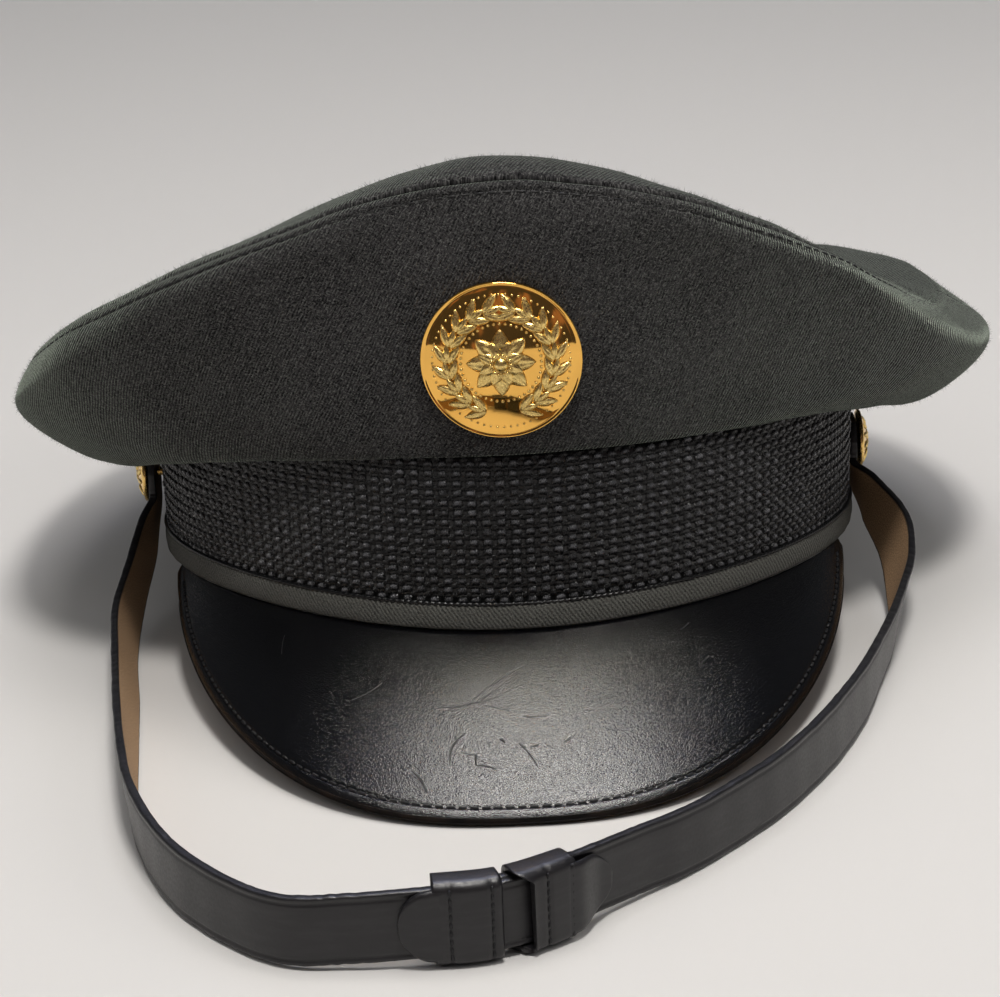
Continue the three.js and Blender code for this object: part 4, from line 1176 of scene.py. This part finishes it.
def strap(name, start, end, lap, nodes):
    """One length of strap, swept along the route from its button end to its end in the keeper."""
    rows = 560
    u = span(start, end, rows)[:, None]
    section = strap_section()
    out, over = section[None, :, 0], section[None, :, 1]
    run = run_length(route_at(u[:, 0])[:, :3], 0)
    trim = 1 - np.clip(1 - run / 6.0, 0, 1) ** 2 * 0.42
    swell = 0.06 * np.sin(run * 0.21) + 0.04 * np.sin(run * 0.53 + 1)
    edge = np.clip((np.abs(over) - 7.2) / 0.5, 0, 1) * np.sign(over)
    knots = np.arange(0, run[-1] + 3, 1.3)
    rough = np.interp(run, knots, np.random.default_rng(SEED).normal(size=len(knots)) * 0.06)
    points = route_offset(u, out + lap + swell[:, None] * (out > 0),
                          over * trim[:, None] + edge * rough[:, None])
    around = np.append(run_length(section, 0), 2 * STRAP_WIDTH + 2 * STRAP_WALL)
    cloth = np.stack(np.broadcast_arrays(run[:, None], around[None]), -1)
    flesh = np.broadcast_to((out < -0.99) & (np.abs(over) < 6.95), (rows, len(section)))
    Piece().shell(points, cloth, flesh.ravel()).build(name, STRAP, "strap_leather", nodes)


def keeper(name, ends, tab_side, tab, flare, cut, lines, nodes):
    """A leather sleeve round both straps, sewn across in two lines, and the rounded tab that lies
    on the strap beside it. flare opens the sleeve's mouth on the side away from the tab, and cut is
    how far its front is cut back there below the top edge. lines are where it is sewn, from -1
    to 1."""
    inner = np.array([LAP / 2 + STRAP_WALL / 2 + GAP, STRAP_WIDTH / 2 + GAP])
    outer = inner + KEEPER_WALL

    def ring(size, round_by):
        """A rounded rectangle of half the size each way, corner by corner."""
        angle = (np.arange(4)[:, None] + span(0, 1, 7)[None]) * math.pi / 2
        corner = np.array([[1, 1], [-1, 1], [-1, -1], [1, -1]]) * (size - round_by)
        bend = round_by * np.stack([np.cos(angle), np.sin(angle)], -1)
        return (corner[:, None] + bend).reshape(-1, 2)

    skin, lining = ring(outer, 2.4), ring(inner, 0.7)
    stations = 26
    u = span(ends[0], ends[1], stations)[:, None]
    along = span(-1, 1, stations)[:, None]
    lip = 0.35 * np.clip((-along * tab_side - 0.94) / 0.06, 0, 1)
    seams = 0.40 * (bump_at(along - lines[0], 0.06) + bump_at(along - lines[1], 0.06))
    mouth = flare * np.clip(-along * tab_side, 0, 1) ** 2
    plump = 0.35 * (1 - along**2)
    pace = (ends[1] - ends[0]) / KEEPER_LENGTH
    back = tab_side * cut * pace * np.clip(-along * tab_side, 0, 1) ** 2

    def at(section, grow):
        front = np.clip(section[None, :, 0] / inner[0], 0, 1)
        lower = np.clip((outer[1] - section[None, :, 1]) / 2.4, 0, 1) ** 0.7
        out, over = section[None, :, 0], section[None, :, 1]
        return route_offset(u + back * front * lower, out + grow * (out > 0), over + 0 * u)

    outside = at(skin, mouth + plump - lip - seams)
    inside = at(lining, mouth)
    order = np.concatenate([outside, inside[::-1]], 0)
    steps = run_length(route_at(u[:, 0])[:, :3], 0)
    steps = np.concatenate([steps, steps[::-1], steps[:1]])
    around = np.append(run_length(skin, 0), 52.0)
    cloth = np.stack(np.broadcast_arrays(steps[:, None], around[None]), -1)
    piece = Piece().shell(order, cloth, close_rows=True)

    foot = ends[0] if tab_side < 0 else ends[1]
    share = np.concatenate([span(-0.3, 0.8, 16), span(0.8, 0.995, 12)[1:]])[:, None]
    wide = 8.0 * np.sqrt(1 - np.clip(share, 0, 1) ** 2.2) * np.where(share < 0, 1.02, 1)
    over = span(-1, 1, 21)[None]
    ease = np.clip((share - 0.05) / 0.7, 0, 1)
    ease = ease * ease * (3 - 2 * ease)
    high = outer[0] + 0.12
    low = -tab_side * LAP / 2 + STRAP_WALL / 2 + GAP + 1.1
    rim = np.minimum(np.clip((1 - np.abs(over)) / 0.1, 0, 1), np.clip((1 - share) / 0.06, 0, 1))
    face = high + (low - high) * ease - 0.45 * (1 - np.sqrt(1 - (1 - rim) ** 2))
    where = foot + tab_side * share * tab * pace
    top = route_offset(where + 0 * over, face, wide * over)
    under = route_offset(where + 0 * over, high + (low - high) * ease - 1.1 + 0 * over, wide * over)
    steps = run_length(route_at(where[:, 0])[:, :3], 0)[:, None] + 30
    loops = np.concatenate([top, under[:, ::-1]], 1)
    across = np.concatenate([wide * over, wide * over[:, ::-1], wide * over[:, :1]], 1)
    cloth = np.stack(np.broadcast_arrays(steps, across + 20), -1)
    piece.shell(loops, cloth)
    piece.build(name, STRAP, "strap_leather", nodes)

    spots, ways, ups = [], [], []
    for line in lines:
        middle = (ends[0] + ends[1]) / 2 + line * (ends[1] - ends[0]) / 2
        over = span(-7.4, 7.4, 9)
        place = np.full_like(over, middle)
        _, onward, across, normal = route_frame(place)
        grow = flare * max(0.0, -line * tab_side) ** 2 + 0.35 * (1 - line**2)
        spots.append(route_offset(place, np.full_like(over, outer[0] + grow - 0.28), over))
        ways.append(across)
        ups.append(normal)
    stitches(f"{name}_stitches", *(np.concatenate(each) for each in (spots, ways, ups)),
             1.5, 0.75, BLACK_THREAD, "strap_leather")


# ---- Making the cap ----

crown_side("crown_front_cloth", -SIDE_SEAM, SIDE_SEAM, 0.0, 300, "crown_side_front")
crown_side("crown_back_cloth", SIDE_SEAM, 2 * math.pi - SIDE_SEAM, math.pi, 260, "crown_side_back")
crown_top()
crown_topstitch()
crown_fuzz(38000)
band_wall()
band_braid()
band_selvedge()
welt_cloth()
peak_hide()
peak_stitches()
badge()
side_buttons()
LAST = len(ROUTE) - 1
TRIM = (KEEPERS[0][1] - KEEPERS[0][0]) / KEEPER_LENGTH
strap("strap_left_leather", 0.0, KEEPERS[1][1] - TRIM, LAP / 2, ("strap_left",))
strap("strap_right_leather", LAST, KEEPERS[0][0] + TRIM, -LAP / 2, ("strap_right",))
keeper("keeper_left_leather", KEEPERS[0], -1, 7.4, 0.0, 0.0, (-0.5, 0.7), ("keeper_left",))
keeper("keeper_right_leather", KEEPERS[1], 1, 9.4, 1.3, 3.4, (0.02, 0.88), ("keeper_right",))


# ---- Table, light and camera ----

def stage_plane(name, corners, colour, roughness):
    mesh = bpy.data.meshes.new(name)
    mesh.from_pydata(corners, [], [(0, 1, 2, 3)])
    paint = Paint(name, roughness=roughness, Specular_IOR_Level=0.25)
    paint.set("Base Color", colour)
    mesh.materials.append(paint.finish)
    obj = linked(name, mesh)
    return obj


def area_light(name, place, aim, size, power, colour, mirrored=True):
    data = bpy.data.lights.new(name, "AREA")
    data.shape = "RECTANGLE"
    data.size, data.size_y = size
    data.energy = power
    data.color = colour
    obj = linked(name, data)
    obj.location = place
    obj.rotation_euler = (Vector(aim) - Vector(place)).to_track_quat("-Z", "Y").to_euler()
    obj.visible_glossy = mirrored


def mirror_card(name, corners, paint_it):
    """A card that only glossy surfaces see, and that lights nothing else."""
    card = stage_plane(name, corners, (0, 0, 0), 1.0)
    paint = Paint(name, roughness=1.0, Emission_Strength=1.0)
    paint.set("Base Color", (0, 0, 0))
    paint_it(paint)
    card.data.materials[0] = paint.finish
    for ray in ("camera", "diffuse", "shadow", "transmission"):
        setattr(card, "visible_" + ray, False)


def dim_room(paint):
    """The room before the cap, dark with a few warm shapes."""
    shapes = paint.noise(paint.stretch(paint.place(), 9.0, 9.0, 5.0), 1.0, 3.0, 0.6)
    colour = paint.blend(shapes.step(0.52, 0.60), (0.045, 0.04, 0.045), (0.30, 0.17, 0.13))
    paint.set("Emission Color", colour)


def bright_ceiling(paint):
    """The lamp over the peak, and the ceiling that it lights behind."""
    back = paint.node("ShaderNodeSeparateXYZ", {}, paint.place(), out=1)
    colour = paint.blend(back.step(0.10, 0.20), (40.0, 38.0, 34.0), (4.2, 4.6, 6.4))
    paint.set("Emission Color", paint.blend(back.step(0.3, 0.8), colour, (4.0, 4.3, 5.9)))


stage_plane("pale floor", [(-4, -4, 0), (4, -4, 0), (4, 4, 0), (-4, 4, 0)], (0.71, 0.69, 0.67), 0.7)
mirror_card("front card",
            [(0.7, -0.55, 0), (-0.7, -0.55, 0), (-0.7, -0.55, 0.9), (0.7, -0.55, 0.9)], dim_room)
mirror_card("ceiling card",
            [(-0.15, -0.08, 1.5), (-0.30, 1.4, 1.5), (0.44, 1.4, 1.5), (0.34, -0.08, 1.5)],
            bright_ceiling)
area_light("lamp overhead", (0.05, 0.1, 1.6), (0.05, 0, 0), (0.9, 0.6), 7.5, (1, 0.98, 0.95), False)
area_light("key lamp", (0.12, -0.585, 1.5), (0, -0.05, 0.03), (0.25, 0.25), 13, (1.0, 0.98, 0.95))
area_light("ceiling in front", (0, -1.1, 1.8), (0, 0, 0), (2.2, 1.4), 6.5, (1.0, 0.985, 0.97))
area_light("wall behind", (0, 1.9, 0.8), (0, 0, 0), (3.0, 1.0), 5, (0.98, 0.99, 1.0), False)
for side in (-1, 1):
    area_light("side box", (1.6 * side, -0.5, 1.2), (0.0, -0.05, 0.0), (1.1, 1.1),
               4.2 + side * 1.1, (1.0, 0.99, 0.98), False)

world = bpy.data.worlds.new("room")
world.use_nodes = True
background = world.node_tree.nodes["Background"].inputs
background[0].default_value = (0.9, 0.93, 1.0, 1)
background[1].default_value = 0.06
bpy.context.scene.world = world

camera_data = bpy.data.cameras.new("camera")
camera_data.sensor_width = 36
camera_data.lens = 108
camera_data.clip_start = 0.02
camera = linked("camera", camera_data)
camera.matrix_world = Matrix((
    (0.9992, 0.0401, 0.0034, -0.00045),
    (-0.0104, 0.3381, -0.9411, -0.72303),
    (-0.0389, 0.9403, 0.3382, 0.29677),
    (0, 0, 0, 1)))

scene = bpy.context.scene
scene.camera = camera
scene.view_settings.view_transform = "Standard"
scene.view_settings.look = "None"
scene.view_settings.exposure = 0.0
